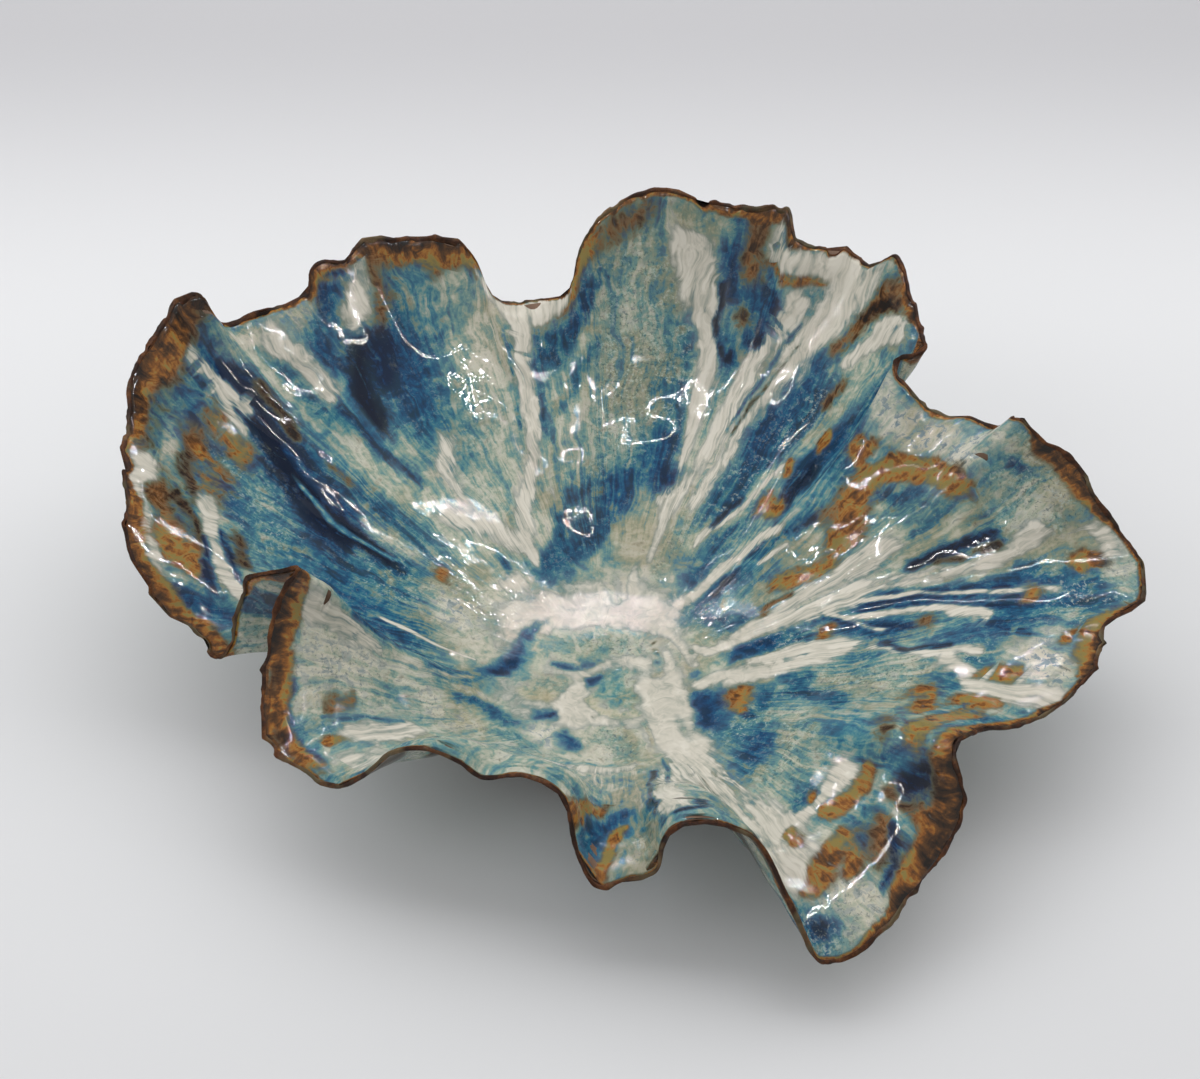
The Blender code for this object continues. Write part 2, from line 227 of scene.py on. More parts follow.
def closed_curve(stations):
    """The smooth closed curve through the stations, sampled every half millimetre or so."""
    full_turn = np.array([0, 0, 0, 360.0])
    ahead = np.vstack([stations[1:], stations[:1] + full_turn])
    behind = np.vstack([stations[-1:] - full_turn, stations[:-1]])
    span = np.linalg.norm((ahead - stations)[:, :3], axis=1)
    slope = (ahead - behind) / (span + np.roll(span, 1))[:, None]
    start_pull = (slope * span[:, None])[:, None]
    end_pull = (np.roll(slope, -1, axis=0) * span[:, None])[:, None]
    f = np.linspace(0, 1, CURVE_STEPS, endpoint=False)[None, :, None]
    curve = (
        (2 * f**3 - 3 * f**2 + 1) * stations[:, None]
        + (f**3 - 2 * f**2 + f) * start_pull
        + (3 * f**2 - 2 * f**3) * ahead[:, None]
        + (f**3 - f**2) * end_pull
    ).reshape(-1, 4)
    curve = np.vstack([curve, curve[:1] + full_turn])
    run = np.cumsum(np.linalg.norm(np.diff(curve[:, :3], axis=0), axis=1))
    run = np.concatenate([[0], run])
    even = np.linspace(0, run[-1], int(2 * run[-1] / MM), endpoint=False)
    return np.stack([np.interp(even, run, row) for row in curve.T], axis=1)


def softened(rim, width):
    """The rim's points with corners shorter than a width smoothed away by a moving average."""
    half = int(width / MM)
    window = np.hanning(2 * half + 3)[1:-1]
    window /= window.sum()
    around = np.vstack([rim[-half:], rim, rim[:half]])
    return np.stack([np.convolve(row, window, "valid") for row in around.T], axis=1)


class FoldedWall:
    """The middle surface of the wall: turn and share both run from 0 to 1. Its columns run
    from the floor to the rim, and its ruffles fade downwards."""

    def __init__(self):
        rim = closed_curve(rim_stations())
        places = softened(rim[:, :3], FINE_ROUNDING)
        soft = softened(rim[:, :3], RUFFLE_WIDTH)
        self.turns = np.linspace(0, 1, len(rim) + 1)
        self.rim = np.vstack([places, places[:1]])
        self.soft = np.vstack([soft, soft[:1]])
        self.roots = np.concatenate([rim[:, 3], rim[:1, 3] + 360])

    def look_up(self, table, turn):
        """A table's rows at turns between its own."""
        return np.stack([np.interp(turn % 1, self.turns, row) for row in table.T], axis=1)

    def root_angle(self, turn):
        """Where the columns leave the floor."""
        return np.radians(np.interp(turn % 1, self.turns, self.roots))

    def wall(self, turn, way):
        """Points on the columns, from the floor's edge (way 0) to the rim (way 1)."""
        rim = self.look_up(self.rim, turn)
        soft = self.look_up(self.soft, turn)
        root_angle = self.root_angle(turn)
        end = soft + (rim - soft) * (way**RUFFLE_FADE)[:, None]
        start = np.stack([FLOOR_RADIUS * np.cos(root_angle), FLOOR_RADIUS * np.sin(root_angle),
                          np.full(len(turn), floor_middle(FLOOR_RADIUS))], axis=1)
        span = end - start
        swing = SWING * np.linalg.norm(span, axis=1)[:, None]
        outward = span * [1, 1, 0]
        outward /= np.linalg.norm(outward, axis=1)[:, None]
        height = (end[:, 2] - RIM_CLEAR) / RIM_RISE
        lift = np.clip((height - DROOPING_BELOW) / (STANDING_ABOVE - DROOPING_BELOW), 0, 1)
        rise = np.radians(RISE_OF_LOW_RIM + (RISE_OF_TALL_RIM - RISE_OF_LOW_RIM) * lift)[:, None]
        first_rise = math.radians(RISE_AT_FLOOR)
        up = np.array([[0, 0, 1.0]])
        after_start = start + swing * (math.cos(first_rise) * outward + math.sin(first_rise) * up)
        before_end = end - swing * (np.cos(rise) * outward + np.sin(rise) * up)
        w = way[:, None]
        return (
            (1 - w) ** 3 * start + 3 * (1 - w) ** 2 * w * after_start
            + 3 * (1 - w) * w**2 * before_end + w**3 * end
        )

    def floor(self, turn, share):
        """Points on the dished floor."""
        angle = self.root_angle(turn)
        radius = FLOOR_RADIUS * share / WALL_START
        return np.stack(
            [radius * np.cos(angle), radius * np.sin(angle), floor_middle(radius)], axis=1)

    def middle(self, turn, share):
        """Points of the floor and the wall, which goes straight on past the rim."""
        way = np.clip((share - WALL_START) / (1 - WALL_START), 0, 1)
        on_floor = (share < WALL_START)[:, None]
        point = np.where(on_floor, self.floor(turn, share), self.wall(turn, way))
        along = self.wall(turn, np.ones(len(turn))) - self.wall(turn, np.full(len(turn), 0.99))
        along /= np.linalg.norm(along, axis=1)[:, None]
        return point + np.clip(share - 1, 0, None)[:, None] * along

    def inward(self, turn, share):
        """Unit vectors square to the wall, on the side that holds things."""
        low = np.clip(share - SHARE_STEP, 0.0, 1 - 2 * SHARE_STEP)
        near, far = self.middle(turn, low), self.middle(turn, low + 2 * SHARE_STEP)
        inside = np.maximum(np.minimum(share, 1), SHARE_STEP)
        right = self.middle(turn - TURN_STEP, inside)
        left = self.middle(turn + TURN_STEP, inside)
        normal = np.cross(far - near, left - right)
        normal /= np.linalg.norm(normal, axis=1)[:, None]
        on_axis = (share < SHARE_STEP)[:, None]
        return np.where(on_axis, [0, 0, 1.0], normal)


def floor_middle(radius):
    """Height of the floor's middle surface, a shallow dish."""
    edge = FLOOR_UNDER + CLAY_AT_FLOOR / 2
    return edge - FLOOR_DISH * (1 - (radius / FLOOR_RADIUS) ** 2)


class TornWall(FoldedWall):
    """The wall with its torn edge. A share over 1 stands that many metres past the edge."""

    def middle(self, turn, share):
        ramp = np.clip((np.minimum(share, 1) - TEAR_RAMP) / (1 - TEAR_RAMP), 0, None) ** 2
        torn = np.minimum(share, 1) - ramp * torn_depth(turn) / WALL_LENGTH
        end = self.wall(turn, np.ones(len(turn)))
        along = end - self.wall(turn, np.full(len(turn), 0.98))
        along /= np.linalg.norm(along, axis=1)[:, None]
        past = np.clip(torn - 1, 0, None) * WALL_LENGTH + np.clip(share - 1, 0, None)
        return super().middle(turn, np.minimum(torn, 1)) + past[:, None] * along


@functools.lru_cache(maxsize=None)
def torn_wall():
    """The one wall that every layer is pressed into."""
    return TornWall()


SPLITS = 8  # columns that each step of a spin is split into


def turned_layer(name, section, closed, columns):
    """A section turned flat by a spin, with each step's ring edges then split evenly."""
    steps = columns // SPLITS
    bm = bmesh.new()
    verts = [bm.verts.new((share, 0, depth)) for share, depth in section]
    links = list(zip(verts, verts[1:])) + ([(verts[-1], verts[0])] if closed else [])
    edges = [bm.edges.new(link) for link in links]
    bmesh.ops.spin(bm, geom=verts + edges, cent=(0, 0, 0), axis=(0, 0, 1), angle=2 * math.pi,
                   steps=steps, use_merge=True)
    bmesh.ops.remove_doubles(bm, verts=bm.verts, dist=1e-7)
    bmesh.ops.recalc_face_normals(bm, faces=bm.faces)
    rings = [edge for edge in bm.edges if abs(edge.verts[0].co.xy.length_squared
                                              - edge.verts[1].co.xy.length_squared) < 1e-7
             and (edge.verts[0].co.xy - edge.verts[1].co.xy).length > 1e-4]
    bmesh.ops.subdivide_edges(bm, edges=rings, cuts=SPLITS - 1)
    mesh = bpy.data.meshes.new(name)
    bm.to_mesh(mesh)
    bm.free()
    mesh.shade_smooth()
    flat = points_of(mesh)
    half_step = math.pi / steps
    off_middle = np.arctan2(flat[:, 1], flat[:, 0]) % (2 * half_step) - half_step
    flat[:, :2] *= (np.cos(off_middle) / math.cos(half_step))[:, None]
    move_points(mesh, flat)
    return mesh


def points_of(mesh):
    """A mesh's points as rows of x, y and z."""
    points = np.empty(len(mesh.vertices) * 3, np.float32)
    mesh.vertices.foreach_get("co", points)
    return points.reshape(-1, 3).astype(float)


def move_points(mesh, points):
    """Moves a mesh's points to new places."""
    mesh.vertices.foreach_set("co", points.astype(np.float32).ravel())
    mesh.update()


def places_of(flat):
    """Turn and share of a flat layer's points."""
    turn = np.arctan2(flat[:, 1], flat[:, 0]) / (2 * math.pi)
    return turn % 1, np.hypot(flat[:, 0], flat[:, 1])


def pressed(flat, extra=0.0):
    """Flat points pressed into the torn wall, standing over the foot."""
    wall = torn_wall()
    turn, share = places_of(flat)
    depth = flat[:, 2] + extra + undulation(turn, share)
    points = wall.middle(turn, share) + wall.inward(turn, share) * depth[:, None]
    return points + [FOOT_MIDDLE.x, FOOT_MIDDLE.y, 0]


def evened(mesh, values, times=6):
    """Values on a mesh's points, each averaged a few times with its neighbours'."""
    pairs = np.empty(len(mesh.edges) * 2, np.int32)
    mesh.edges.foreach_get("vertices", pairs)
    first, last = pairs.reshape(-1, 2).T
    size = len(values)
    count = np.bincount(first, minlength=size) + np.bincount(last, minlength=size) + 1
    for _ in range(times):
        near = np.bincount(first, values[last], size) + np.bincount(last, values[first], size)
        values = (values + near) / count
    return values


def visible_clay(share):
    """Half the visible clay's thickness, which thins to the lip."""
    share = np.asarray(share, float)
    way = np.clip((share - WALL_START) / (1 - WALL_START), 0, 1)
    return (CLAY_AT_FLOOR + (CLAY_AT_LIP - CLAY_AT_FLOOR) * way) / 2


def floor_and_wall(floor_rows, wall_rows, end):
    """Shares of the rows of points over the floor and on up the wall to where a layer ends."""
    return [*np.linspace(0, WALL_START, floor_rows),
            *np.linspace(WALL_START, end, wall_rows)[1:]]


def add_values(mesh, name, values):
    """A named vector or colour on each vertex."""
    kind, field = {3: ("FLOAT_VECTOR", "vector"), 4: ("FLOAT_COLOR", "color")}[values.shape[1]]
    layer = mesh.attributes.new(name, kind, "POINT")
    layer.data.foreach_set(field, values.astype(np.float32).ravel())


# Brush strokes of glaze over the inside of the wall, laid in order: the glaze, half the stroke's
# width in degrees of the rim, its strength, and the turn and share of each point it passes.
WALL_STROKES = [
    # Grounds, from the right anticlockwise.
    ("speckled teal", 6, 0.9, (358, 0.92), (6, 0.88)),
    ("teal", 6, 0.7, (4, 0.75), (8, 0.55)),
    ("celadon", 4.5, 0.8, (19, 0.82), (19, 0.58)),
    ("speckled sage", 5.5, 1.0, (14, 0.91), (19, 0.92)),
    ("speckled deep", 5, 1.0, (5, 0.34), (11, 0.28)),
    ("speckled deep", 5, 0.9, (28, 0.31), (38, 0.27)),
    ("celadon", 5, 0.7, (30, 0.42), (34, 0.36)),
    ("teal", 5, 0.8, (38, 0.46), (40, 0.36)),
    ("cobalt", 4, 0.7, (40, 0.82), (41, 0.72)),
    ("deep", 5, 0.9, (45, 0.84), (46, 0.70)),
    ("deep", 5, 0.9, (44, 0.42), (47, 0.28)),
    ("speckled deep", 6, 1.0, (60, 0.70), (64, 0.45)),
    ("cobalt", 5, 0.8, (49, 0.68), (50, 0.58)),
    ("deep", 5, 0.8, (58, 0.36), (60, 0.26)),
    ("lilac", 5, 0.8, (66, 0.24), (80, 0.28)),
    ("speckled sage", 4.5, 0.8, (74, 0.35), (76, 0.30)),
    ("cobalt", 5, 0.8, (74, 0.84), (77, 0.72)),
    ("celadon", 5, 0.8, (80, 0.42), (86, 0.36)),
    ("speckled teal", 7, 1.0, (86, 0.72), (88, 0.56)),
    ("speckled sage", 7, 1.0, (92, 0.88), (95, 0.66)),
    ("speckled sage", 5, 0.8, (100, 0.58), (96, 0.54)),
    ("sage", 5, 0.8, (104, 0.68), (107, 0.60)),
    ("deep", 5, 0.9, (93, 0.38), (106, 0.36), (118, 0.31), (128, 0.26)),
    ("grey", 6, 0.9, (120, 0.86), (126, 0.70)),
    ("celadon", 6, 0.9, (118, 0.60), (124, 0.54), (130, 0.46)),
    ("speckled sage", 4, 0.7, (126, 0.66), (130, 0.60)),
    ("teal", 6, 1.0, (134, 0.86), (135, 0.64)),
    ("cobalt", 4, 0.8, (133, 0.79), (136, 0.70)),
    ("celadon", 5, 0.9, (148, 0.60), (145, 0.44), (152, 0.40)),
    ("teal", 5, 0.8, (155, 0.62), (156, 0.46)),
    ("navy", 5, 1.0, (161, 0.88), (162, 0.72), (167, 0.56)),
    ("navy", 5, 0.8, (170, 0.60), (176, 0.58)),
    ("speckled sky", 6, 0.9, (171, 0.77), (179, 0.68)),
    ("speckled teal", 5, 0.8, (166, 0.42), (177, 0.47)),
    ("speckled sage", 5, 0.8, (160, 0.31), (178, 0.30)),
    ("grey", 5, 0.8, (140, 0.27), (156, 0.27)),
    ("teal", 6, 0.8, (184, 0.62), (186, 0.40)),
    ("cobalt", 5, 0.7, (183, 0.52), (190, 0.46)),
    ("deep", 8, 0.9, (196, 0.60), (206, 0.45), (214, 0.36)),
    ("sky", 5, 0.6, (204, 0.74), (216, 0.70)),
    ("grey", 5, 0.8, (184, 0.27), (196, 0.26)),
    ("speckled cream", 6.5, 1.0, (228, 0.88), (230, 0.66)),
    ("speckled cream", 5, 0.9, (232, 0.50), (238, 0.42)),
    ("celadon", 7, 0.9, (247, 0.88), (252, 0.66), (250, 0.45)),
    ("celadon", 7, 0.9, (260, 0.88), (263, 0.60), (262, 0.40)),
    ("speckled sage", 5, 0.7, (246, 0.33), (258, 0.33)),
    ("speckled cream", 6, 0.8, (270, 0.30), (284, 0.26)),
    ("grey", 6, 0.8, (272, 0.45), (280, 0.40)),
    ("sky", 5, 1.0, (276, 0.92), (279, 0.70)),
    ("lilac", 5, 0.8, (284, 0.66), (280, 0.50), (275, 0.43)),
    ("celadon", 6, 0.9, (292, 0.95), (294, 0.74), (298, 0.56)),
    ("cream", 7, 0.9, (296, 0.44), (304, 0.30), (312, 0.26)),
    ("speckled cobalt", 3.5, 1.0, (306, 0.95), (309, 0.90)),
    ("speckled cream", 3.5, 1.0, (312, 0.96), (312, 0.88)),
    ("olive", 5, 0.9, (320, 0.90), (324, 0.80)),
    ("teal", 5, 0.8, (320, 0.63), (328, 0.68)),
    ("speckled sage", 6, 1.0, (320, 0.53), (330, 0.47)),
    ("speckled teal", 6, 0.9, (324, 0.34), (340, 0.33)),
    ("sage", 5, 0.9, (334, 0.80), (340, 0.68)),
    ("teal", 4, 0.7, (332, 0.96), (338, 0.93)),
    ("sky", 4, 0.9, (331, 0.70), (336, 0.61), (341, 0.52), (343, 0.42)),
    ("speckled sage", 5, 1.0, (347, 0.62), (347, 0.44)),
    ("crackle", 4, 1.0, (348, 0.94), (350, 0.88)),
    ("cobalt", 4.5, 0.7, (356, 0.80), (355, 0.70)),
    ("teal", 5, 0.8, (354, 0.50), (4, 0.48)),
    ("speckled teal", 3, 0.8, (346, 0.80), (350, 0.74)),

    # The right lobe.
    ("speckled cobalt", 3, 0.9, (2.5, 0.88)),
    ("cream", 2.2, 0.9, (8, 0.97), (7.5, 0.93)),
    ("speckled cream", 2.2, 0.8, (3, 0.965)),
    ("cobalt", 2.6, 0.9, (4, 0.80), (6, 0.68), (11, 0.53)),
    ("navy", 1.1, 0.9, (3.5, 0.80), (7, 0.66), (12, 0.50)),
    ("navy", 0.7, 0.8, (1, 0.76), (5, 0.62), (10, 0.50)),
    ("cobalt", 2.2, 0.9, (1, 0.56), (6, 0.47), (13, 0.42)),
    ("navy", 0.7, 0.7, (0, 0.58), (5, 0.50), (11, 0.44)),
    ("cream", 0.8, 0.9, (0, 0.73), (4, 0.63), (7, 0.53), (9, 0.47)),
    ("cream", 0.5, 0.8, (3, 0.84), (5, 0.72), (9, 0.60), (13, 0.50)),
    ("cream", 0.5, 0.8, (2, 0.52), (7, 0.48), (13, 0.44)),
    ("celadon", 1.3, 0.9, (8.5, 0.94), (8.8, 0.85), (9, 0.74), (11.5, 0.60)),
    ("brown", 1.6, 0.9, (12, 0.79), (13, 0.76)),
    ("brown", 1.2, 0.9, (13, 0.71), (13.5, 0.67)),
    ("ink", 1.1, 1.0, (14, 0.80), (14.8, 0.71), (14.8, 0.63)),
    ("olive", 1.5, 0.8, (16.5, 0.80), (17, 0.78)),
    ("navy", 1.3, 0.9, (20, 0.925)),
    ("teal", 0.9, 0.8, (22.3, 0.92), (21.5, 0.80), (19.5, 0.66), (18.5, 0.55)),
    ("cream", 1.1, 1.0, (11.5, 0.87), (9.8, 0.80), (10.2, 0.72), (12.2, 0.62), (15, 0.545),
     (17.5, 0.51)),
    ("lilac", 0.5, 0.8, (11.7, 0.66), (13.6, 0.58), (16, 0.53)),
    ("cream", 2.5, 1.0, (22, 0.62), (21.8, 0.50), (21.5, 0.38), (20.5, 0.28), (18, 0.20)),
    ("cream", 2.5, 1.0, (15, 0.50), (16, 0.42), (16.6, 0.32), (16, 0.20)),
    ("lilac", 0.8, 0.8, (19.4, 0.51), (19.3, 0.40)),
    ("cobalt", 2.6, 0.9, (9, 0.30), (11, 0.26)),
    ("cream", 2.4, 1.0, (359, 0.44), (1.5, 0.42), (2.6, 0.36), (1, 0.30)),
    ("rust", 1.4, 0.7, (5, 0.41), (8, 0.42)),
    ("amber", 1.6, 0.9, (0.5, 0.60), (2.5, 0.60)),
    ("rust", 1.2, 1.0, (6.2, 0.92), (6, 0.89)),
    ("rust", 1.4, 0.9, (3, 0.80)),

    # Rust along the tops of the back petals.
    ("rust", 2.4, 1.0, (121, 0.975), (127, 0.965), (132, 0.975)),
    ("rust", 2.0, 1.0, (136, 0.975), (141, 0.98)),
    ("rust", 2.6, 1.0, (99, 0.975), (104, 0.965), (109, 0.96)),
    ("amber", 2.4, 0.9, (90, 0.965), (95, 0.96)),

    # The right spur and the rust that crosses below it.
    ("olive", 3.2, 0.7, (25, 0.76), (28, 0.72)),
    ("deep", 2.2, 0.8, (27, 0.79), (30, 0.74)),
    ("celadon", 1.6, 0.7, (25, 0.66), (29, 0.70)),
    ("crackle", 4.2, 1.0, (28, 0.93), (37, 0.92)),
    ("crackle", 2.2, 1.0, (25, 0.87), (24, 0.82)),
    ("rust", 2.0, 1.0, (22.8, 0.82), (25.5, 0.84), (29, 0.855), (31.5, 0.83)),
    ("rust", 2.6, 1.0, (31, 0.83), (34.5, 0.80), (37.6, 0.80)),
    ("rust", 2.8, 1.0, (34.8, 0.80), (34, 0.70), (31, 0.635), (29, 0.58)),
    ("amber", 1.8, 0.9, (34.5, 0.64), (36, 0.60)),
    ("rust", 2.4, 0.9, (26.5, 0.52), (28, 0.46), (30, 0.43)),
    ("amber", 1.1, 0.9, (24.6, 0.40), (26, 0.355), (23, 0.33)),
    ("sky", 1.0, 0.9, (35, 0.835), (35.6, 0.80)),
    ("celadon", 2.4, 0.7, (33, 0.55), (35, 0.48)),
    ("navy", 1.6, 0.7, (37, 0.60), (37.5, 0.54)),
    ("sky", 0.9, 0.8, (36.5, 0.53), (37, 0.46), (39, 0.415)),
    ("cream", 0.6, 0.8, (36, 0.50), (38, 0.43)),
    ("teal", 2.4, 0.8, (38.5, 0.74), (39.5, 0.60)),
    ("sky", 3.2, 0.9, (42, 0.66), (44, 0.56)),
    ("sky", 2.0, 0.9, (41, 0.58), (46, 0.53)),
    ("ink", 2.6, 0.8, (48.5, 0.61), (49.5, 0.55)),
    ("ink", 2.2, 0.6, (44, 0.33), (44.5, 0.28)),
    ("cream", 1.1, 1.0, (40.8, 0.515), (44, 0.48), (47.6, 0.44)),
    ("cream", 1.5, 1.0, (47.6, 0.44), (50, 0.38), (51.8, 0.33)),
    ("cream", 2.2, 1.0, (51.8, 0.32), (52.2, 0.26), (54, 0.19)),
    ("sky", 0.7, 0.7, (41, 0.40), (45, 0.385), (49, 0.36)),
    ("celadon", 1.6, 0.9, (50.5, 0.86), (53, 0.72), (56.5, 0.57), (58.5, 0.50)),
    ("celadon", 1.5, 1.0, (58.5, 0.52), (60, 0.44), (64, 0.385), (68, 0.34)),
    ("cream", 0.6, 1.0, (57, 0.56), (59.5, 0.46), (62.5, 0.40), (66, 0.355)),
    ("ink", 0.9, 0.8, (61.5, 0.46), (64, 0.395)),
    ("rust", 1.3, 1.0, (51.4, 0.675), (52, 0.65)),
    ("amber", 1.1, 0.9, (55.2, 0.76), (56.2, 0.71)),
    ("rust", 1.4, 1.0, (55.3, 0.565)),
    ("rust", 2.2, 0.9, (50.5, 0.50), (54.5, 0.485)),
    ("sage", 2.5, 0.8, (56, 0.88), (58, 0.80)),
    ("amber", 1.9, 1.0, (52.5, 0.99), (56, 0.93), (58.5, 0.87), (60, 0.83)),
    ("brown", 0.6, 0.9, (53, 0.96), (57, 0.89)),
    ("cream", 0.9, 1.0, (49.8, 0.95), (53, 0.88), (56.8, 0.80)),
    ("cream", 0.5, 1.0, (51.5, 0.95), (54.5, 0.88)),

    # The ridge up to the back right petal.
    ("cobalt", 3.0, 0.8, (62.5, 0.77), (65, 0.58)),
    ("cream", 3.0, 0.9, (61, 0.98), (67, 0.95), (73, 0.955)),
    ("cream", 2.4, 1.0, (61, 0.93), (64.8, 0.83), (67.2, 0.72)),
    ("cream", 2.0, 1.0, (67.2, 0.72), (69.6, 0.60), (71.4, 0.50), (72.5, 0.43)),
    ("lilac", 2.4, 0.9, (69, 0.74), (71.5, 0.64), (73.8, 0.50)),
    ("cream", 1.4, 1.0, (68.5, 0.88), (71.3, 0.74), (74.6, 0.58), (76, 0.48)),
    ("cream", 0.6, 0.9, (70, 0.70), (72.6, 0.58), (74.5, 0.47)),
    ("brown", 0.4, 0.6, (65.5, 0.80), (68.2, 0.68), (70, 0.58)),
    ("navy", 0.4, 0.6, (66.6, 0.84), (69.2, 0.70), (71.6, 0.58)),
    ("lilac", 2.2, 0.9, (76.3, 0.46), (79, 0.37), (80.5, 0.28)),
    ("cream", 1.5, 0.9, (77, 0.46), (80, 0.37), (80, 0.30)),
    ("navy", 1.4, 0.9, (71, 0.86), (72.5, 0.78), (76, 0.715)),
    ("ink", 0.8, 0.9, (71.5, 0.79), (75, 0.73), (77.4, 0.70)),
    ("brown", 1.3, 0.9, (71, 0.985), (73.5, 0.985)),
    ("rust", 1.0, 0.7, (66, 0.935), (74, 0.90)),
    ("amber", 1.9, 1.0, (77.4, 0.99), (77.4, 0.93), (76.8, 0.88)),
    ("amber", 1.5, 0.9, (76.5, 0.79), (78, 0.78)),
    ("cobalt", 1.4, 1.0, (79.4, 0.98), (79.8, 0.88), (78.4, 0.80)),
    ("sky", 1.0, 0.7, (74.4, 0.72), (77, 0.76), (79, 0.80)),
    ("sage", 3.4, 0.8, (83, 0.96), (86, 0.92)),
    ("cream", 2.2, 1.0, (84.2, 0.91), (83, 0.84), (81.6, 0.79)),
    ("cream", 1.5, 1.0, (81.6, 0.79), (79.9, 0.70), (79.2, 0.62)),
    ("cream", 0.9, 1.0, (79.2, 0.62), (78.9, 0.54), (80, 0.46), (82, 0.40)),
    ("ink", 0.5, 0.9, (80.5, 0.85), (79.8, 0.77), (78.2, 0.71)),
    ("navy", 3.0, 1.0, (82.5, 0.46)),
    ("cobalt", 3.4, 0.8, (84, 0.52), (86.5, 0.45)),
    ("grey", 3.6, 0.8, (84, 0.335), (90, 0.33)),

    # The back right petal's left half and the back notch.
    ("cobalt", 3.0, 0.9, (92, 0.43), (94, 0.42)),
    ("deep", 3.2, 0.9, (98, 0.885), (103, 0.905), (108, 0.87)),
    ("cobalt", 2.0, 0.8, (99, 0.87), (103, 0.90)),
    ("celadon", 1.6, 0.9, (98.5, 0.81), (103, 0.83), (107, 0.76), (110, 0.67)),
    ("teal", 1.8, 0.8, (98, 0.76), (104, 0.77), (107.5, 0.70)),
    ("celadon", 1.4, 0.8, (100, 0.70), (106, 0.70), (109.5, 0.60)),
    ("lilac", 1.0, 0.7, (103, 0.66), (107, 0.63), (109, 0.58)),
    ("deep", 1.3, 0.9, (110.5, 0.89), (112, 0.78), (112.5, 0.66)),
    ("cream", 2.8, 1.0, (108, 0.985), (113, 0.96), (117, 0.95)),
    ("cream", 1.6, 1.0, (111.4, 0.97), (112.2, 0.90), (113.6, 0.82), (114, 0.72)),
    ("cream", 1.4, 1.0, (114, 0.72), (115, 0.60), (118, 0.53), (122.5, 0.475)),
    ("cream", 1.7, 1.0, (122.5, 0.475), (126.5, 0.41), (129, 0.36), (131, 0.315)),
    ("grey", 2.2, 0.9, (117, 0.93), (121, 0.85), (124, 0.78)),
    ("teal", 0.6, 0.9, (114, 0.92), (115.5, 0.84), (116.3, 0.73), (117.4, 0.64)),
    ("lilac", 0.9, 0.7, (119, 0.555), (122, 0.52), (126, 0.45)),
    ("cream", 0.9, 0.8, (115, 0.47), (119, 0.41), (124, 0.345), (131, 0.30)),
    ("grey", 1.8, 0.8, (116, 0.46), (121, 0.385), (126, 0.33)),
    ("deep", 1.6, 0.8, (112, 0.42), (118, 0.345), (126, 0.30)),
    ("celadon", 1.2, 0.7, (93, 0.33), (104, 0.30), (112, 0.27)),
    ("navy", 1.4, 0.6, (104, 0.47), (110, 0.47)),

    # The back left petal.
    ("brown", 1.0, 0.9, (122, 0.985), (130, 0.985)),
    ("cobalt", 1.3, 0.9, (125.4, 0.84), (127.6, 0.79)),
    ("celadon", 1.5, 0.9, (124, 0.92), (126, 0.80), (126, 0.74)),
    ("sky", 1.8, 0.9, (128.5, 0.93), (129.5, 0.83)),
    ("sky", 2.6, 0.8, (134, 0.93), (137, 0.90)),
    ("amber", 1.5, 0.9, (132, 0.98), (133.5, 0.91), (136, 0.86)),
    ("cream", 1.5, 0.9, (135.4, 0.97), (137, 0.92), (139, 0.88)),
    ("cobalt", 2.0, 0.9, (138.5, 0.97), (141, 0.935)),
    ("crackle", 1.8, 0.8, (144, 0.985), (147, 0.96)),
    ("ink", 3.0, 1.0, (139, 0.835), (143, 0.78), (145, 0.72)),
    ("navy", 2.4, 1.0, (136.4, 0.82), (138.5, 0.765)),
    ("olive", 0.9, 0.8, (142, 0.87)),
    ("cobalt", 1.8, 0.9, (145, 0.89), (146, 0.80)),
    ("sky", 0.8, 1.0, (145.2, 0.82), (146.4, 0.72), (146, 0.64)),
    ("navy", 1.0, 0.8, (147.8, 0.75), (147, 0.64), (144.6, 0.56)),
    ("cream", 1.7, 1.0, (149.4, 0.96), (148.7, 0.87), (147.7, 0.80)),
    ("teal", 1.4, 0.9, (151.6, 0.88), (151, 0.80), (149, 0.72)),
    ("celadon", 2.6, 0.9, (151, 0.66), (149.4, 0.56)),
    ("grey", 2.0, 0.9, (152, 0.96), (155.5, 0.945), (157, 0.90)),
    ("celadon", 1.5, 0.9, (153.4, 0.90), (154.4, 0.83)),
    ("cream", 2.0, 0.7, (135, 0.585), (139, 0.545), (139, 0.48)),
    ("lilac", 0.8, 0.9, (141, 0.57), (139.8, 0.48), (138.4, 0.40)),
    ("cream", 2.4, 0.7, (145, 0.47), (138, 0.40), (133, 0.36)),
    ("deep", 1.5, 0.9, (141, 0.34), (142.4, 0.31)),
    ("cream", 1.4, 0.9, (140, 0.28), (148, 0.29)),
    ("deep", 1.5, 0.8, (156.6, 0.67), (158.4, 0.60), (157, 0.51)),
    ("sky", 1.6, 0.7, (153, 0.72), (155.4, 0.60)),

    # The left peak, its navy pool and the left lobe.
    ("brown", 1.1, 0.9, (156.8, 0.83), (157.8, 0.72)),
    ("amber", 1.0, 0.7, (157, 0.63), (158, 0.60)),
    ("ink", 3.2, 1.0, (164, 0.68), (167.4, 0.56), (166.4, 0.47)),
    ("ink", 2.0, 0.9, (161, 0.80), (163, 0.70)),
    ("cobalt", 1.0, 1.0, (161, 0.70), (163, 0.62), (163.6, 0.55)),
    ("sky", 0.4, 1.0, (165, 0.66), (167.3, 0.58), (167.2, 0.50), (165.6, 0.43)),
    ("cream", 0.9, 1.0, (163, 0.93), (162.8, 0.86), (161.5, 0.80)),
    ("cream", 0.9, 1.0, (163.2, 0.87), (164.6, 0.82), (165, 0.785)),
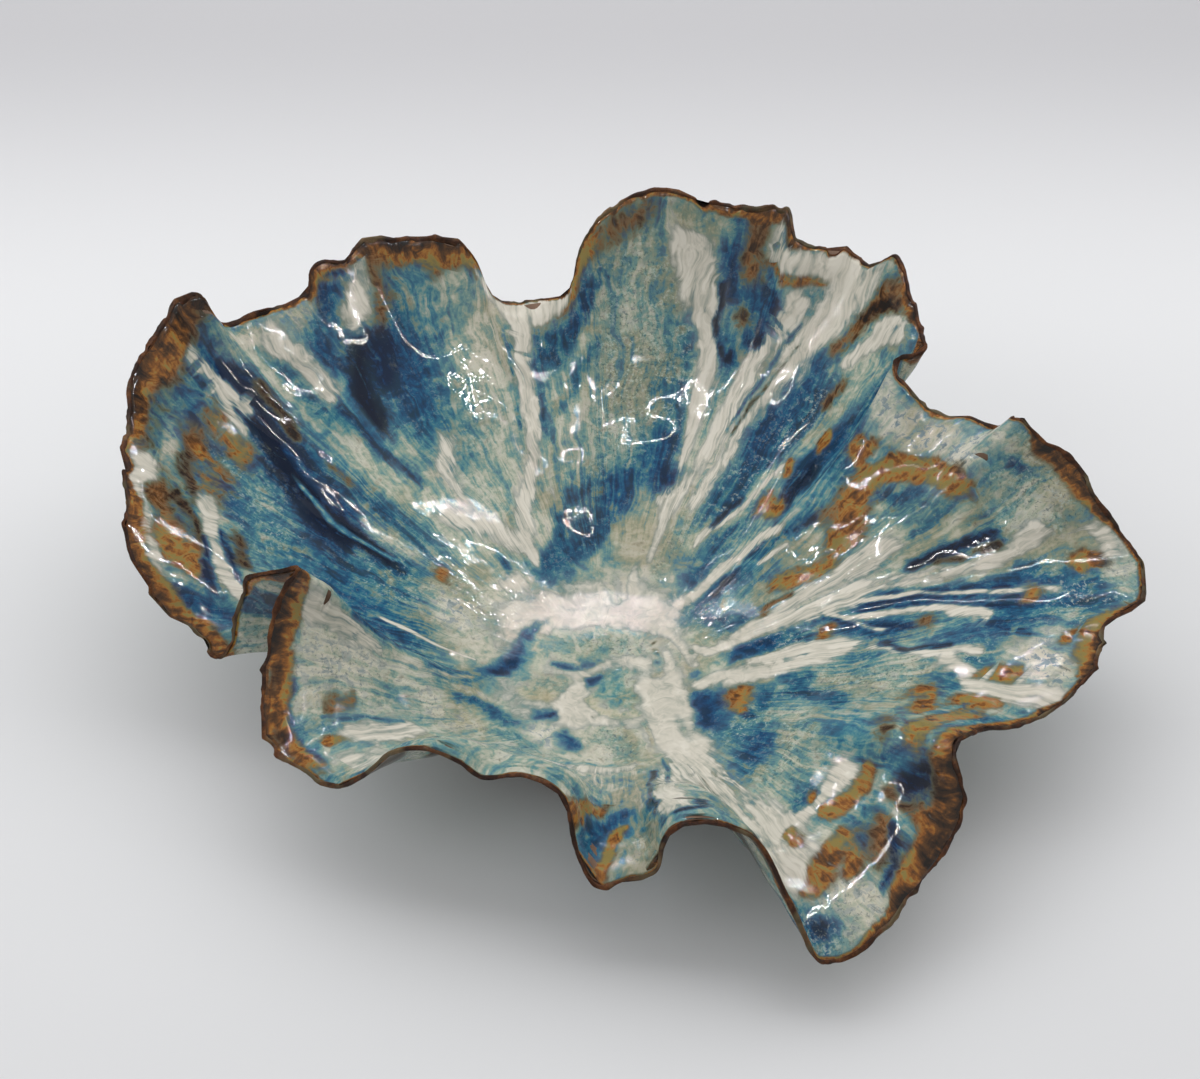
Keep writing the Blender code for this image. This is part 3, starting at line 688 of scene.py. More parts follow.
    ("cobalt", 1.8, 0.9, (168, 0.92), (169, 0.86)),
    ("brown", 2.4, 1.0, (158.5, 0.98), (164, 0.965), (168, 0.965)),
    ("rust", 2.0, 0.9, (162, 0.965), (172, 0.975), (178, 0.985)),
    ("olive", 3.0, 0.9, (171, 0.93), (177, 0.945)),
    ("amber", 2.6, 1.0, (172.4, 0.86)),
    ("rust", 1.2, 1.0, (172.6, 0.845)),
    ("rust", 2.2, 0.7, (167, 0.83), (168, 0.76)),
    ("rust", 2.4, 0.6, (174, 0.80), (179, 0.83)),
    ("brown", 1.2, 0.7, (175, 0.875), (180, 0.86)),
    ("lilac", 1.2, 0.9, (173, 0.905), (179, 0.925)),
    ("cobalt", 2.2, 0.7, (177, 0.775)),
    ("speckled cream", 2.0, 0.8, (163, 0.485), (162, 0.43)),
    ("rust", 1.0, 0.7, (160, 0.375), (163.5, 0.36)),
    ("crackle", 3.4, 0.7, (168, 0.32), (177, 0.33)),

    # The left tongue and the pleat.
    ("olive", 3.0, 1.0, (182, 0.91), (186, 0.87)),
    ("amber", 2.2, 1.0, (182.5, 0.93), (187, 0.905)),
    ("rust", 2.2, 1.0, (188.5, 0.93), (189.5, 0.88)),
    ("brown", 0.8, 0.9, (181, 0.90), (183, 0.86), (187, 0.855)),
    ("cream", 1.3, 1.0, (180, 0.965), (184.5, 0.98), (192, 0.965)),
    ("cream", 1.5, 1.0, (180, 0.825), (186, 0.82), (193, 0.805)),
    ("navy", 0.6, 1.0, (183, 0.79), (190, 0.785)),
    ("navy", 0.8, 1.0, (186, 0.845), (193, 0.85)),
    ("cobalt", 2.6, 1.0, (195.6, 0.93), (197, 0.88)),
    ("brown", 1.2, 0.9, (182, 0.755), (187.4, 0.765)),
    ("rust", 1.8, 0.9, (194, 0.98), (199, 0.96)),
    ("brown", 2.4, 0.9, (201, 0.975), (209, 0.965), (216, 0.98)),
    ("taupe", 2.6, 0.9, (204, 0.93), (211, 0.93)),
    ("sky", 1.4, 0.8, (218.6, 0.84), (218.2, 0.58), (215, 0.42)),
    ("cobalt", 1.1, 0.9, (219.6, 0.76), (219.4, 0.58)),
    ("cobalt", 1.4, 0.9, (223.2, 0.48), (222.4, 0.42)),
    ("lilac", 0.9, 0.9, (224.4, 0.60), (224, 0.46), (221.4, 0.37), (218, 0.31)),
    ("cream", 0.5, 0.9, (186, 0.46), (190, 0.34), (192, 0.28)),

    # The front left lobe.
    ("rust", 1.8, 0.9, (220, 0.985), (224, 0.95)),
    ("cream", 1.8, 1.0, (222.6, 0.92), (223.4, 0.78), (223.6, 0.68)),
    ("teal", 2.4, 0.6, (232, 0.60), (233, 0.56)),
    ("sage", 2.2, 0.8, (228, 0.60), (232, 0.66)),
    ("amber", 1.5, 1.0, (234.8, 0.81), (233.6, 0.74)),
    ("cobalt", 0.8, 0.9, (232, 0.915), (236, 0.925), (241, 0.94)),
    ("rust", 2.0, 1.0, (226, 0.97), (232, 0.95), (240, 0.965)),
    ("brown", 1.4, 0.8, (229, 0.975), (239, 0.975)),
    ("rust", 0.8, 0.8, (239.6, 0.88), (239, 0.83)),
    ("cream", 2.8, 0.8, (239, 0.78), (239, 0.60)),
    ("teal", 0.5, 0.8, (236.5, 0.80), (236, 0.70), (237.4, 0.60)),
    ("taupe", 1.6, 0.7, (246, 0.985), (248, 0.93)),
    ("cream", 2.0, 0.7, (243, 0.90), (246, 0.75), (246, 0.55)),
    ("cream", 2.0, 0.6, (256, 0.80), (256, 0.55)),
    ("deep", 2.4, 0.9, (228.4, 0.365), (233, 0.30), (239, 0.245), (246, 0.19)),
    ("speckled cream", 1.6, 0.9, (226.8, 0.36), (228, 0.30), (231, 0.24)),
    ("cream", 1.4, 0.8, (247, 0.93), (249, 0.70), (250, 0.50)),
    ("sky", 0.9, 0.8, (251, 0.90), (252.5, 0.66), (252, 0.44)),
    ("cream", 2.2, 0.8, (262, 0.50), (270, 0.36), (284, 0.30)),
    ("sky", 0.8, 0.8, (258, 0.46), (268, 0.33), (282, 0.265)),
    ("lilac", 1.0, 0.8, (270, 0.56), (276, 0.42), (286, 0.35)),

    # The front tongue and the front right arch.
    ("cobalt", 1.4, 0.9, (274.6, 0.88), (277.5, 0.76), (280, 0.70)),
    ("deep", 1.3, 0.7, (274, 0.98), (275, 0.88)),
    ("rust", 1.1, 1.0, (270.6, 0.99), (271.8, 0.88), (273.4, 0.78), (276, 0.69)),
    ("amber", 1.2, 0.7, (275.6, 0.70), (277, 0.64)),
    ("rust", 0.8, 1.0, (276.6, 0.98), (277.8, 0.87), (279.4, 0.78)),
    ("speckled sage", 2.0, 1.0, (281.4, 0.93), (282.4, 0.87)),
    ("teal", 1.4, 0.8, (284, 0.86), (282, 0.74)),
    ("ink", 0.6, 0.8, (286.2, 0.95), (285.6, 0.72), (286.8, 0.52), (289.4, 0.38)),
    ("cream", 1.6, 0.9, (287.8, 0.90), (288, 0.68), (290, 0.48)),
    ("navy", 0.9, 0.9, (288.4, 0.935), (290.6, 0.90), (291.4, 0.84)),
    ("deep", 0.5, 0.8, (290, 0.52), (292, 0.38), (293, 0.28)),
    ("brown", 2.2, 1.0, (297, 0.99), (299.4, 0.92), (302, 0.86)),
    ("rust", 0.7, 1.0, (298.6, 0.98), (301, 0.90)),
    ("teal", 0.6, 0.8, (302.6, 0.97), (305.2, 0.89), (308, 0.83)),

    # The front right lobe.
    ("cream", 3.4, 1.0, (308.4, 0.80), (309.6, 0.64), (309, 0.50), (307, 0.38)),
    ("cream", 4.5, 1.0, (306, 0.38), (304, 0.28), (300, 0.19)),
    ("grey", 0.7, 0.7, (309, 0.58), (310, 0.48), (309, 0.38)),
    ("lilac", 0.6, 0.7, (296, 0.44), (301, 0.36), (306, 0.33)),
    ("ink", 1.2, 0.7, (306.4, 0.945), (307.6, 0.92)),
    ("cream", 2.2, 1.0, (312, 0.655), (318, 0.675), (323, 0.68)),
    ("rust", 2.0, 1.0, (309.6, 0.835), (312, 0.795), (314, 0.78)),
    ("rust", 1.2, 1.0, (311.2, 0.71), (311.4, 0.68)),
    ("rust", 1.1, 1.0, (313.4, 0.86), (314.4, 0.83)),
    ("deep", 1.6, 0.9, (315.6, 0.63), (317.8, 0.64)),
    ("rust", 0.9, 1.0, (317.4, 0.648)),
    ("amber", 2.2, 1.0, (317.6, 0.87), (319, 0.83)),
    ("amber", 2.3, 1.0, (322.8, 0.89), (323.4, 0.82)),
    ("navy", 0.8, 1.0, (314.4, 0.93), (317, 0.925), (319.4, 0.86)),
    ("sky", 0.7, 0.9, (320.6, 0.94), (320.4, 0.86), (321.4, 0.80)),
    ("ink", 2.6, 1.0, (327.8, 0.98), (326.8, 0.91), (325.6, 0.86)),
    ("brown", 2.8, 1.0, (321, 0.975), (326, 0.96)),
    ("rust", 2.0, 1.0, (316.4, 0.985), (319, 0.975)),
    ("sky", 1.1, 0.9, (328.8, 0.88), (326, 0.80), (320, 0.755), (315, 0.715)),
    ("cobalt", 0.6, 0.8, (329.6, 0.88), (327, 0.79)),
    ("rust", 1.4, 1.0, (317, 0.71), (321, 0.73), (324.6, 0.74)),
    ("rust", 2.6, 0.9, (331.4, 0.88), (336.4, 0.90)),
    ("rust", 2.0, 0.7, (337, 0.80), (341, 0.755), (342.4, 0.72)),
    ("rust", 2.0, 0.9, (342.6, 0.88), (342.8, 0.84)),
    ("amber", 2.2, 0.6, (331, 0.80), (333, 0.75)),
    ("cream", 1.2, 1.0, (344.4, 0.97), (344.6, 0.87), (345, 0.80), (349.6, 0.70)),
    ("rust", 1.3, 1.0, (346.8, 0.86), (347, 0.81)),
    ("teal", 0.8, 0.9, (344, 0.79), (347, 0.735)),
    ("cream", 0.7, 0.9, (351.6, 0.76), (351.8, 0.66), (355, 0.555), (358, 0.50)),
    ("ink", 0.6, 0.8, (352.6, 0.70), (353.6, 0.60), (357, 0.53)),
    ("rust", 2.0, 0.9, (351, 0.985), (357, 0.985)),
    ("rust", 1.1, 0.8, (352.6, 0.925)),
    ("navy", 0.7, 0.7, (354, 0.84), (357.6, 0.74)),
    ("deep", 1.9, 0.8, (338, 0.56), (341, 0.50), (344, 0.42)),
    ("cobalt", 3.0, 0.9, (320, 0.425), (326, 0.41)),
    ("deep", 1.6, 0.9, (344, 0.385), (350.6, 0.39), (351.8, 0.34)),
    ("deep", 2.2, 0.8, (338, 0.345), (347, 0.30)),
    ("ink", 1.4, 0.6, (333, 0.33), (336, 0.29)),
    ("cobalt", 2.8, 1.0, (325, 0.235), (336, 0.215), (345, 0.215)),
    ("rust", 1.7, 0.9, (334.6, 0.275), (341, 0.265), (346.4, 0.255)),
    ("cream", 2.4, 1.0, (357, 0.41), (354.6, 0.31), (351.4, 0.235), (346, 0.19)),
]

# Strokes over the floor: the glaze, half its width in millimetres, its strength, and the
# millimetres right and back of the floor's middle that it passes.
FLOOR_STROKES = [
    ("cream", 24, 1.0, (-12, -8), (14, -10)),
    ("cream", 16, 1.0, (-30, 24), (0, 32), (22, 22)),
    ("grey", 14, 0.9, (4, -38), (-10, -40)),
    ("deep", 9, 0.9, (40, -18), (38, -24)),
    ("speckled deep", 8, 0.9, (42, 22), (34, 30)),
    ("celadon", 8, 0.9, (36, 2), (30, 14)),
    ("celadon", 5, 0.9, (-28, 16), (-30, 4)),
    ("speckled sage", 8, 1.0, (-16, 15), (8, 15)),
    ("sage", 6, 0.8, (-16, 9), (-8, 10)),
    ("deep", 1.8, 0.9, (-21, 6), (-13, 4), (-6, 6)),
    ("celadon", 2.0, 0.8, (-20, 21), (-4, 23), (10, 20)),
    ("cobalt", 2.6, 0.9, (-24, 28), (-32, 21), (-35, 12), (-38, 4)),
    ("cobalt", 3.6, 0.9, (-36, 8), (-44, 0), (-58, -4)),
    ("sky", 2.2, 0.8, (-32, 14), (-33, 2), (-36, -6)),
    ("navy", 2.0, 0.7, (-40, -1), (-56, -3), (-72, -6)),
    ("cream", 4.5, 1.0, (-40, 28), (-28, 31), (-14, 34)),
    ("taupe", 6.6, 1.0, (-25, -6), (-21, -6)),
    ("tan", 3.4, 0.9, (-32, -11), (-24, -13)),
    ("grey", 1.2, 0.8, (-16, -2), (-14, 1)),
    ("cream", 2.4, 1.0, (-13, 0), (-2, 5), (8, 8), (14, 5)),
    ("pool", 10.6, 1.0, (1, -7), (5, -7)),
    ("pool", 7, 1.0, (9, -8)),
    ("cobalt", 1.4, 0.9, (-8.4, -2), (-8.6, -6), (-6, -1)),
    ("tan", 2.4, 0.9, (-9, -13), (-4, -19), (3, -22), (8, -21)),
    ("cream", 2.0, 1.0, (-11, -16), (-6, -23), (2, -26), (9, -25)),
    ("brown", 0.8, 0.5, (-7, -22), (-6, -23)),
    ("cream", 3.0, 1.0, (-13, -9), (-17, -20), (-12, -24)),
    ("deep", 2.0, 0.9, (-62, -14), (-46, -21), (-34, -28), (-24, -30)),
    ("cobalt", 3.0, 0.8, (-27, -22), (-22, -21)),
    ("navy", 1.0, 0.7, (-28, -24), (-20, -20)),
    ("crackle", 6.0, 0.9, (-26, -32), (-22, -34)),
    ("navy", 2.4, 0.8, (-17, -31), (-14, -37)),
    ("cobalt", 3.0, 0.6, (-18, -34), (-12, -39)),
    ("speckled sage", 6, 0.9, (0, -32), (4, -42)),
    ("cream", 4.5, 1.0, (14, -6), (19, -20), (18, -32)),
    ("cream", 6.0, 1.0, (19, -28), (25, -44), (34, -60)),
    ("cream", 4.0, 0.9, (20, -14), (26, -22), (24, -34)),
    ("taupe", 0.9, 0.8, (11.6, -26), (14.6, -36)),
    ("celadon", 1.8, 0.6, (24, -24), (28, -36)),
    ("lilac", 2.4, 0.9, (15, 18), (18, 8), (18, 0)),
    ("brown", 0.6, 0.5, (16, 16), (17.6, 6), (17.4, 1)),
    ("lilac", 2.6, 0.9, (20, 18), (26, 11), (29, 2), (31, -8)),
    ("cream", 1.3, 0.9, (21, 10), (23, 2), (24, -6)),
    ("cream", 1.3, 0.9, (19, 22), (27, 14), (31, 4)),
    ("cobalt", 1.4, 0.8, (31, 0), (31.6, -9), (31, -18)),
    ("cobalt", 4.0, 0.9, (35, -14), (35, -26)),
    ("rust", 3.4, 0.9, (45.4, -15), (45.6, -20)),
    ("cream", 1.6, 1.0, (32, 12), (36, 9), (44, 11), (56, 18), (70, 28)),
    ("cream", 2.6, 1.0, (33, -7), (38, -5), (44, -3), (56, -2), (72, -2)),
    ("cobalt", 3.2, 0.9, (46, 7), (58, 8), (72, 10)),
    ("lilac", 1.6, 0.8, (-30, 45), (-20, 40)),
    ("cream", 1.5, 0.8, (-4, 46), (0, 36), (6, 34)),
    ("lilac", 2.0, 0.8, (-2, 60), (-1, 46), (1, 38)),
    ("lilac", 2.0, 0.8, (8, 60), (5, 46), (4, 40)),
    ("cream", 1.4, 0.9, (12, 60), (8, 44), (9, 38)),
    ("cream", 1.4, 0.9, (26, 34), (34, 42), (46, 52)),
    ("cream", 1.2, 0.8, (-34, 42), (-46, 52)),
]

DEGREE = 0.0133  # share of the wall that looks as long as one degree of the rim
WISP_LEAN = 0.00012  # how far the wisps lean round the bowl on their way up
FLAT_REACH = 90  # the wall's length in the flat units of the painting's noise

# Each glaze: its colour, and how much cream and iron it has, its level from navy (0) to cream
# (1), and how much specks, iron tone (0 orange rust to 1 burnt brown) and crackle.
GLAZES = {
    "cream": ("#d8d0c1", 1, 0, 0.92, 0.0, 0, 0.0),
    "speckled cream": ("#bcbcab", 0.15, 0, 0.80, 0.8, 0, 0.55),
    "crackle": ("#c9cbc4", 0.15, 0, 0.84, 0.2, 0, 1.0),
    "celadon": ("#98aa9e", 0, 0, 0.70, 0.2, 0, 0.0),
    "sage": ("#828f7f", 0, 0, 0.63, 0.3, 0, 0.0),
    "speckled sage": ("#879689", 0, 0, 0.66, 1.0, 0, 0.3),
    "grey": ("#a8a89b", 0, 0, 0.77, 0.2, 0, 0.0),
    "taupe": ("#857f6c", 0, 0.10, 0.62, 0.5, 0.3, 0.0),
    "tan": ("#a8986f", 0, 0.15, 0.72, 0.2, 0.1, 0.0),
    "lilac": ("#a09a9c", 0, 0, 0.70, 0.0, 0, 0.0),
    "sky": ("#5f90a2", 0, 0, 0.55, 0.1, 0, 0.0),
    "speckled sky": ("#5b7f8c", 0, 0, 0.52, 0.9, 0, 0.0),
    "pool": ("#669690", 0, 0, 0.58, 0.4, 0, 0.0),
    "teal": ("#35707f", 0, 0, 0.42, 0.3, 0, 0.0),
    "speckled teal": ("#44707a", 0, 0, 0.45, 1.0, 0, 0.0),
    "deep": ("#1a4f64", 0, 0, 0.28, 0.2, 0, 0.0),
    "speckled deep": ("#2a5869", 0, 0, 0.34, 0.9, 0, 0.0),
    "cobalt": ("#17507c", 0, 0, 0.22, 0.1, 0, 0.0),
    "speckled cobalt": ("#2b5d80", 0, 0, 0.34, 1.0, 0, 0.3),
    "navy": ("#0e325a", 0, 0, 0.10, 0.0, 0, 0.0),
    "ink": ("#07182e", 0, 0, 0.0, 0.0, 0, 0.0),
    "olive": ("#5c583a", 0, 0.35, 0.45, 0.2, 0.45, 0.0),
    "rust": ("#9a5f2c", 0, 1.2, 0.5, 0.2, 0.10, 0.0),
    "amber": ("#7f6036", 0, 0.85, 0.5, 0.1, 0.35, 0.0),
    "brown": ("#3f2818", 0, 1, 0.3, 0.0, 0.85, 0.0),
}


# Places of values in a row of painted glaze, which starts with its three colour values.
CREAM, IRON, LEVEL, TONE = 3, 4, 5, 7


def linear(code):
    """A #rrggbb colour as three linear values."""
    values = np.array([int(code[i:i + 2], 16) for i in (1, 3, 5)]) / 255
    return np.where(values <= 0.04045, values / 12.92, ((values + 0.055) / 1.055) ** 2.4)


def glaze_values(name):
    """A glaze's linear colour and its other values, in one row."""
    colour, *rest = GLAZES[name]
    return np.array([*linear(colour), *rest])


def distance_to_path(x, y, path):
    """The distance from each point to a path's nearest place."""
    nearest = np.full(len(x), np.inf)
    for (x0, y0), (x1, y1) in zip(path, path[1:] or path[:1]):
        along_x, along_y = x1 - x0, y1 - y0
        length = along_x**2 + along_y**2 or 1.0
        way = np.clip(((x - x0) * along_x + (y - y0) * along_y) / length, 0, 1)
        nearest = np.minimum(nearest, np.hypot(x - x0 - way * along_x, y - y0 - way * along_y))
    return nearest


def unrolled(path):
    """Path turns made continuous, so that no step crosses more than half the rim."""
    turns = [path[0][0]]
    for turn, _ in path[1:]:
        turns.append(turns[-1] + (turn - turns[-1] + 180) % 360 - 180)
    return [(turn, share / DEGREE) for turn, (_, share) in zip(turns, path)]


def lay(values, where, glaze, half_width, strength, distance, ragged):
    """Lays one stroke over the values of the points where it reaches."""
    edge = distance / half_width + ragged
    amount = strength * (1 - eased(edge, 0.1, 1.9))
    values[where] += (glaze_values(glaze) - values[where]) * amount[:, None]


def painted(turn, share, x, y):
    """The glaze's values at each place of the inside."""
    angle = turn * 2 * math.pi
    along = share / DEGREE
    around = turn * 360
    flat_x, flat_y = FLAT_REACH * share * np.cos(angle), FLAT_REACH * share * np.sin(angle)
    drift = [soft_noise(flat_x / 4.5 + 5, flat_y / 4.5 + 9, seed) for seed in (21, 22)]
    wisp = round_noise(turn + WISP_LEAN * along, 300, 23)
    grain = soft_noise(flat_x / 1.3 + 5, flat_y / 1.3 + 9, 24)
    slow = soft_noise(flat_x / 9 + 5, flat_y / 9 + 9, 25)
    mix = np.clip(0.5 + 0.7 * slow + 0.3 * drift[0], 0, 1)[:, None]
    values = glaze_values("teal") * (1 - mix) + glaze_values("celadon") * mix
    around_warped = around + 0.55 * drift[0]
    along_warped = along + 0.9 * drift[1]
    for glaze, half_width, strength, *path in WALL_STROKES:
        path = unrolled(path)
        turns, places = zip(*path)
        reach = 1.6 * half_width + 2
        middle = (min(turns) + max(turns)) / 2
        local = (around_warped - middle + 180) % 360 - 180 + middle
        near = (local > min(turns) - reach) & (local < max(turns) + reach)
        near &= (along_warped > min(places) - reach) & (along_warped < max(places) + reach)
        near = np.nonzero(near & (share > WALL_START * 0.8))[0]
        ragged = 0.28 * grain[near] + 0.22 * wisp[near] / max(half_width, 1) ** 0.5
        fade = eased(share[near], 0.17, 0.24)
        distance = distance_to_path(local[near], along_warped[near], path)
        lay(values, near, glaze, half_width, strength * fade, distance, ragged)
    x_warped = x / MM + drift[0] + 0.5 * grain
    y_warped = y / MM + drift[1] + 0.4 * slow
    on_floor = np.nonzero(share < 0.36)[0]
    fade = 1 - eased(share[on_floor], 0.20, 0.33)
    for glaze, half_width, strength, *path in FLOOR_STROKES:
        distance = distance_to_path(x_warped[on_floor], y_warped[on_floor], path)
        lay(values, on_floor, glaze, half_width, strength * fade, distance, 0.2 * grain[on_floor])
    return values


# How wide the burnt band is round the rim: turn in degrees, and how many times the usual.
THIN_RIM = [
    (0, 1.2), (5, 1.0), (8, 0.4), (16, 1.5), (24, 1.4), (30, 0.8), (40, 1.0), (46, 1.0),
    (54, 1.2), (60, 0.5), (68, 0.6), (76, 1.2), (84, 0.5), (91, 1.0), (102, 0.9), (108, 0.3),
    (118, 0.3), (122, 0.9), (130, 1.3), (138, 0.6), (146, 0.7), (152, 0.3), (157, 1.2),
    (168, 1.9), (178, 1.2), (186, 1.2), (200, 1.6), (216, 1.4), (222, 1.4), (232, 2.2),
    (241, 1.5), (248, 0.8), (258, 0.3), (268, 0.7), (274, 0.6), (286, 0.4), (294, 0.6),
    (300, 1.4), (306, 0.5), (311, 0.7), (318, 1.6), (326, 3.0), (331, 1.2), (342, 0.8),
    (347, 0.6), (353, 1.3), (360, 1.2),
]


def burnt_rim(turn, share, values):
    """Iron breaking through along the edge, in a band of uneven width."""
    width = 0.013 + 0.013 * round_noise(turn, 34, 41) + 0.011 * round_noise(turn, 120, 42)
    thin = np.interp(turn * 360, *zip(*THIN_RIM))
    width = np.clip(width * thin, 0.004, None)
    edge = (1 - share) / width
    amount = 1 - eased(edge, 0.4, 1.9)
    tone = np.clip(0.85 - 0.6 * edge + 0.35 * round_noise(turn, 60, 43), 0, 1)
    iron = glaze_values("rust") * (1 - tone[:, None]) + glaze_values("brown") * tone[:, None]
    iron[:, IRON] = 1.5
    values += (iron - values) * amount[:, None]


def outside_painted(turn, share):
    """The outside's glaze: thinner, greyer, with runs of teal, cream and rust towards the rim."""
    angle = turn * 2 * math.pi
    x, y = FLAT_REACH * share * np.cos(angle), FLAT_REACH * share * np.sin(angle)
    slow = soft_noise(x / 10 + 5, y / 10 + 9, 61)
    patch = soft_noise(x / 5 + 5, y / 5 + 9, 62)
    run = round_noise(turn, 120, 63)
    broad_run = round_noise(turn, 40, 64)
    values = np.tile(glaze_values("speckled sage"), (len(turn), 1))
    for glaze, amount in (
        ("taupe", eased(slow + 0.4 * patch, 0.0, 0.6)),
        ("teal", eased(broad_run + 0.5 * patch, 0.35, 0.8)),
        ("navy", 0.7 * eased(run - 0.4 * slow, 0.5, 0.8)),
        ("cream", eased(run + 0.5 * broad_run + 0.3 * patch, 0.62, 0.9)),
        ("brown", 0.8 * eased(slow - 0.5 * broad_run + 0.6 * share, 0.9, 1.2)),
    ):
        values += (glaze_values(glaze) - values) * amount[:, None]
    bare = 0.30 + 0.03 * run + 0.02 * patch
    burnt = 1 - eased(share, bare, bare + 0.03)
    values += (glaze_values("brown") - values) * burnt[:, None]
    return values


def node(tree, kind, inputs=None, stops=(), **settings):
    """Adds a node with its settings and a ramp's stops, and sets or links its inputs."""
    made = tree.nodes.new(kind)
    for name, value in settings.items():
        setattr(made, name, value)
    for _ in stops[2:]:
        made.color_ramp.elements.new(0.5)
    for index, (place, code) in enumerate(stops):
        element = made.color_ramp.elements[index]
        element.position = place
        element.color = rgba(code)
    for socket, value in (inputs or {}).items():
        if isinstance(value, bpy.types.NodeSocket):
            tree.links.new(value, made.inputs[socket])
        else:
            made.inputs[socket].default_value = value
    return made


def blank_material(name):
    """A material with only an output, and its tree."""
    material = bpy.data.materials.new(name)
    material.use_nodes = True
    tree = material.node_tree
    tree.nodes.clear()
    return material, tree


def rgba(code):
    """A #rrggbb colour as a linear colour socket's value."""
    return (*linear(code), 1.0)


def reactive_glaze(name, gloss_roughness):
    """Reactive stoneware glaze, poured in layers and fired until they ran: glossy, from navy
    pools through teal to cream as it thickens, and breaking to iron brown where it is thin."""
    material, tree = blank_material(name)
    add = functools.partial(node, tree)
    ground, pools, finish, flow = (
        add("ShaderNodeAttribute", attribute_name=attribute)
        for attribute in ("ground", "pools", "finish", "flow"))
    spot = add("ShaderNodeTexCoord").outputs["Object"]
    cream, iron, level = add("ShaderNodeSeparateColor", {0: pools.outputs["Color"]}).outputs
    specks = pools.outputs["Alpha"]
    tone, crackle, on_floor = add(
        "ShaderNodeSeparateColor", {0: finish.outputs["Color"]}).outputs

    def bent(vector, *pushes):
        """The vector pushed about by noise of each size, by up to each reach in millimetres,
        so that straight runs wander."""
        for size, reach in pushes:
            push = add("ShaderNodeTexNoise", {
                "Vector": spot, "Scale": 1 / (size * MM), "Detail": 2, "Roughness": 0.6})
            centred = add("ShaderNodeVectorMath", {0: push.outputs[1], 1: (0.5, 0.5, 0.5)},
                          operation="SUBTRACT")
            vector = add("ShaderNodeVectorMath", {
                0: centred.outputs[0], 1: (reach * MM,) * 3, 2: vector},
                operation="MULTIPLY_ADD").outputs[0]
        return vector

    def shifted(value, *shifts):
        """The value moved up and down by each pattern about its middle, by each amount."""
        for pattern, amount in shifts:
            centred = add("ShaderNodeMath", {0: pattern, 1: 0.5}, operation="SUBTRACT")
            value = add("ShaderNodeMath", {0: centred.outputs[0], 1: amount, 2: value},
                        operation="MULTIPLY_ADD").outputs[0]
        return value

    # The patterns: what each lies on, how far it is drawn out down the wall, its size in
    # millimetres, its detail and its distortion.
    wandering = bent(flow.outputs["Vector"], (30, 22), (11, 5))
    patterns = []
    for vector, drawn_out, size, detail, distortion in (
        (wandering, 0.06, 3.4, 3, 0.3),
        (bent(spot, (16, 16), (6, 3)), 1, 5.0, 2, 0.8),
        (wandering, 0.17, 9.0, 3, 0.8),
        (bent(spot, (18, 16)), 1, 12.0, 2, 1.0),
        (bent(spot, (5, 2)), 1, 3.0, 5, 0.5),
        (bent(spot, (4, 1.5)), 1, 1.3, 3, 0.6),
        (bent(spot, (12, 10)), 1, 8.0, 6, 1.0),
        (bent(spot, (30, 20)), 1, 34.0, 3, 0.8),
        (wandering, 0.2, 8.0, 0, 0.0),
        (spot, 1, 12.0, 0, 0.5),
    ):
        drawn = add("ShaderNodeVectorMath", {0: vector, 1: (1, 1, drawn_out)},
                    operation="MULTIPLY")
        patterns.append(add("ShaderNodeTexNoise", {
            "Vector": drawn.outputs[0], "Scale": 1 / (size * MM), "Detail": detail,
            "Roughness": 0.6, "Distortion": distortion}).outputs[0])
    wall_wisp, floor_wisp, wall_run, floor_run, mottle, speck, curdle, broad, ripple, swell = (
        patterns)
    settled = []
    for on_wall, puddled, liveliness in (
            (wall_wisp, floor_wisp, 0.55), (wall_run, floor_run, 0.5)):
        calmed = add("ShaderNodeMix", {0: liveliness, 2: 0.5, 3: puddled}).outputs[0]
        settled.append(add("ShaderNodeMix", {0: on_floor, 2: on_wall, 3: calmed}).outputs[0])
    wisp, run = settled

    thickness = add("ShaderNodeMath", {0: level, 1: 1.3, 2: -0.14}, operation="MULTIPLY_ADD")
    depth = shifted(thickness.outputs[0], (wisp, 0.75), (run, 1.4), (mottle, 0.7), (curdle, 1.0))
    thin = shifted(iron, (curdle, 1.7), (wisp, 0.8), (mottle, 0.6))
    burn = shifted(tone, (curdle, 2.2), (mottle, 0.8), (wisp, 1.4))
    float_edge = shifted(cream, (wisp, 1.2), (run, 0.8), (mottle, 0.25))
    body = add("ShaderNodeValToRGB", {0: depth}, stops=(
        (0.0, "#031229"), (0.14, "#062a52"), (0.27, "#0b4a72"), (0.39, "#1d6381"),
        (0.50, "#3f7f8b"), (0.61, "#6a9690"), (0.73, "#9aa794"), (0.86, "#c6c4af"),
        (1.0, "#ded8c7"))).outputs[0]
    rusted = add("ShaderNodeValToRGB", {0: burn}, stops=(
        (0.0, "#8d7c42"), (0.13, "#a3702f"), (0.27, "#8a5421"), (0.45, "#5f3d1c"),
        (0.7, "#3c2513"), (1.0, "#190e08"))).outputs[0]
    thick = add("ShaderNodeValToRGB", {0: shifted(wisp, (run, 0.6))}, stops=(
        (0.28, "#8d9792"), (0.38, "#b5b5a8"), (0.50, "#cfcabc"), (0.64, "#dfdacd"))).outputs[0]

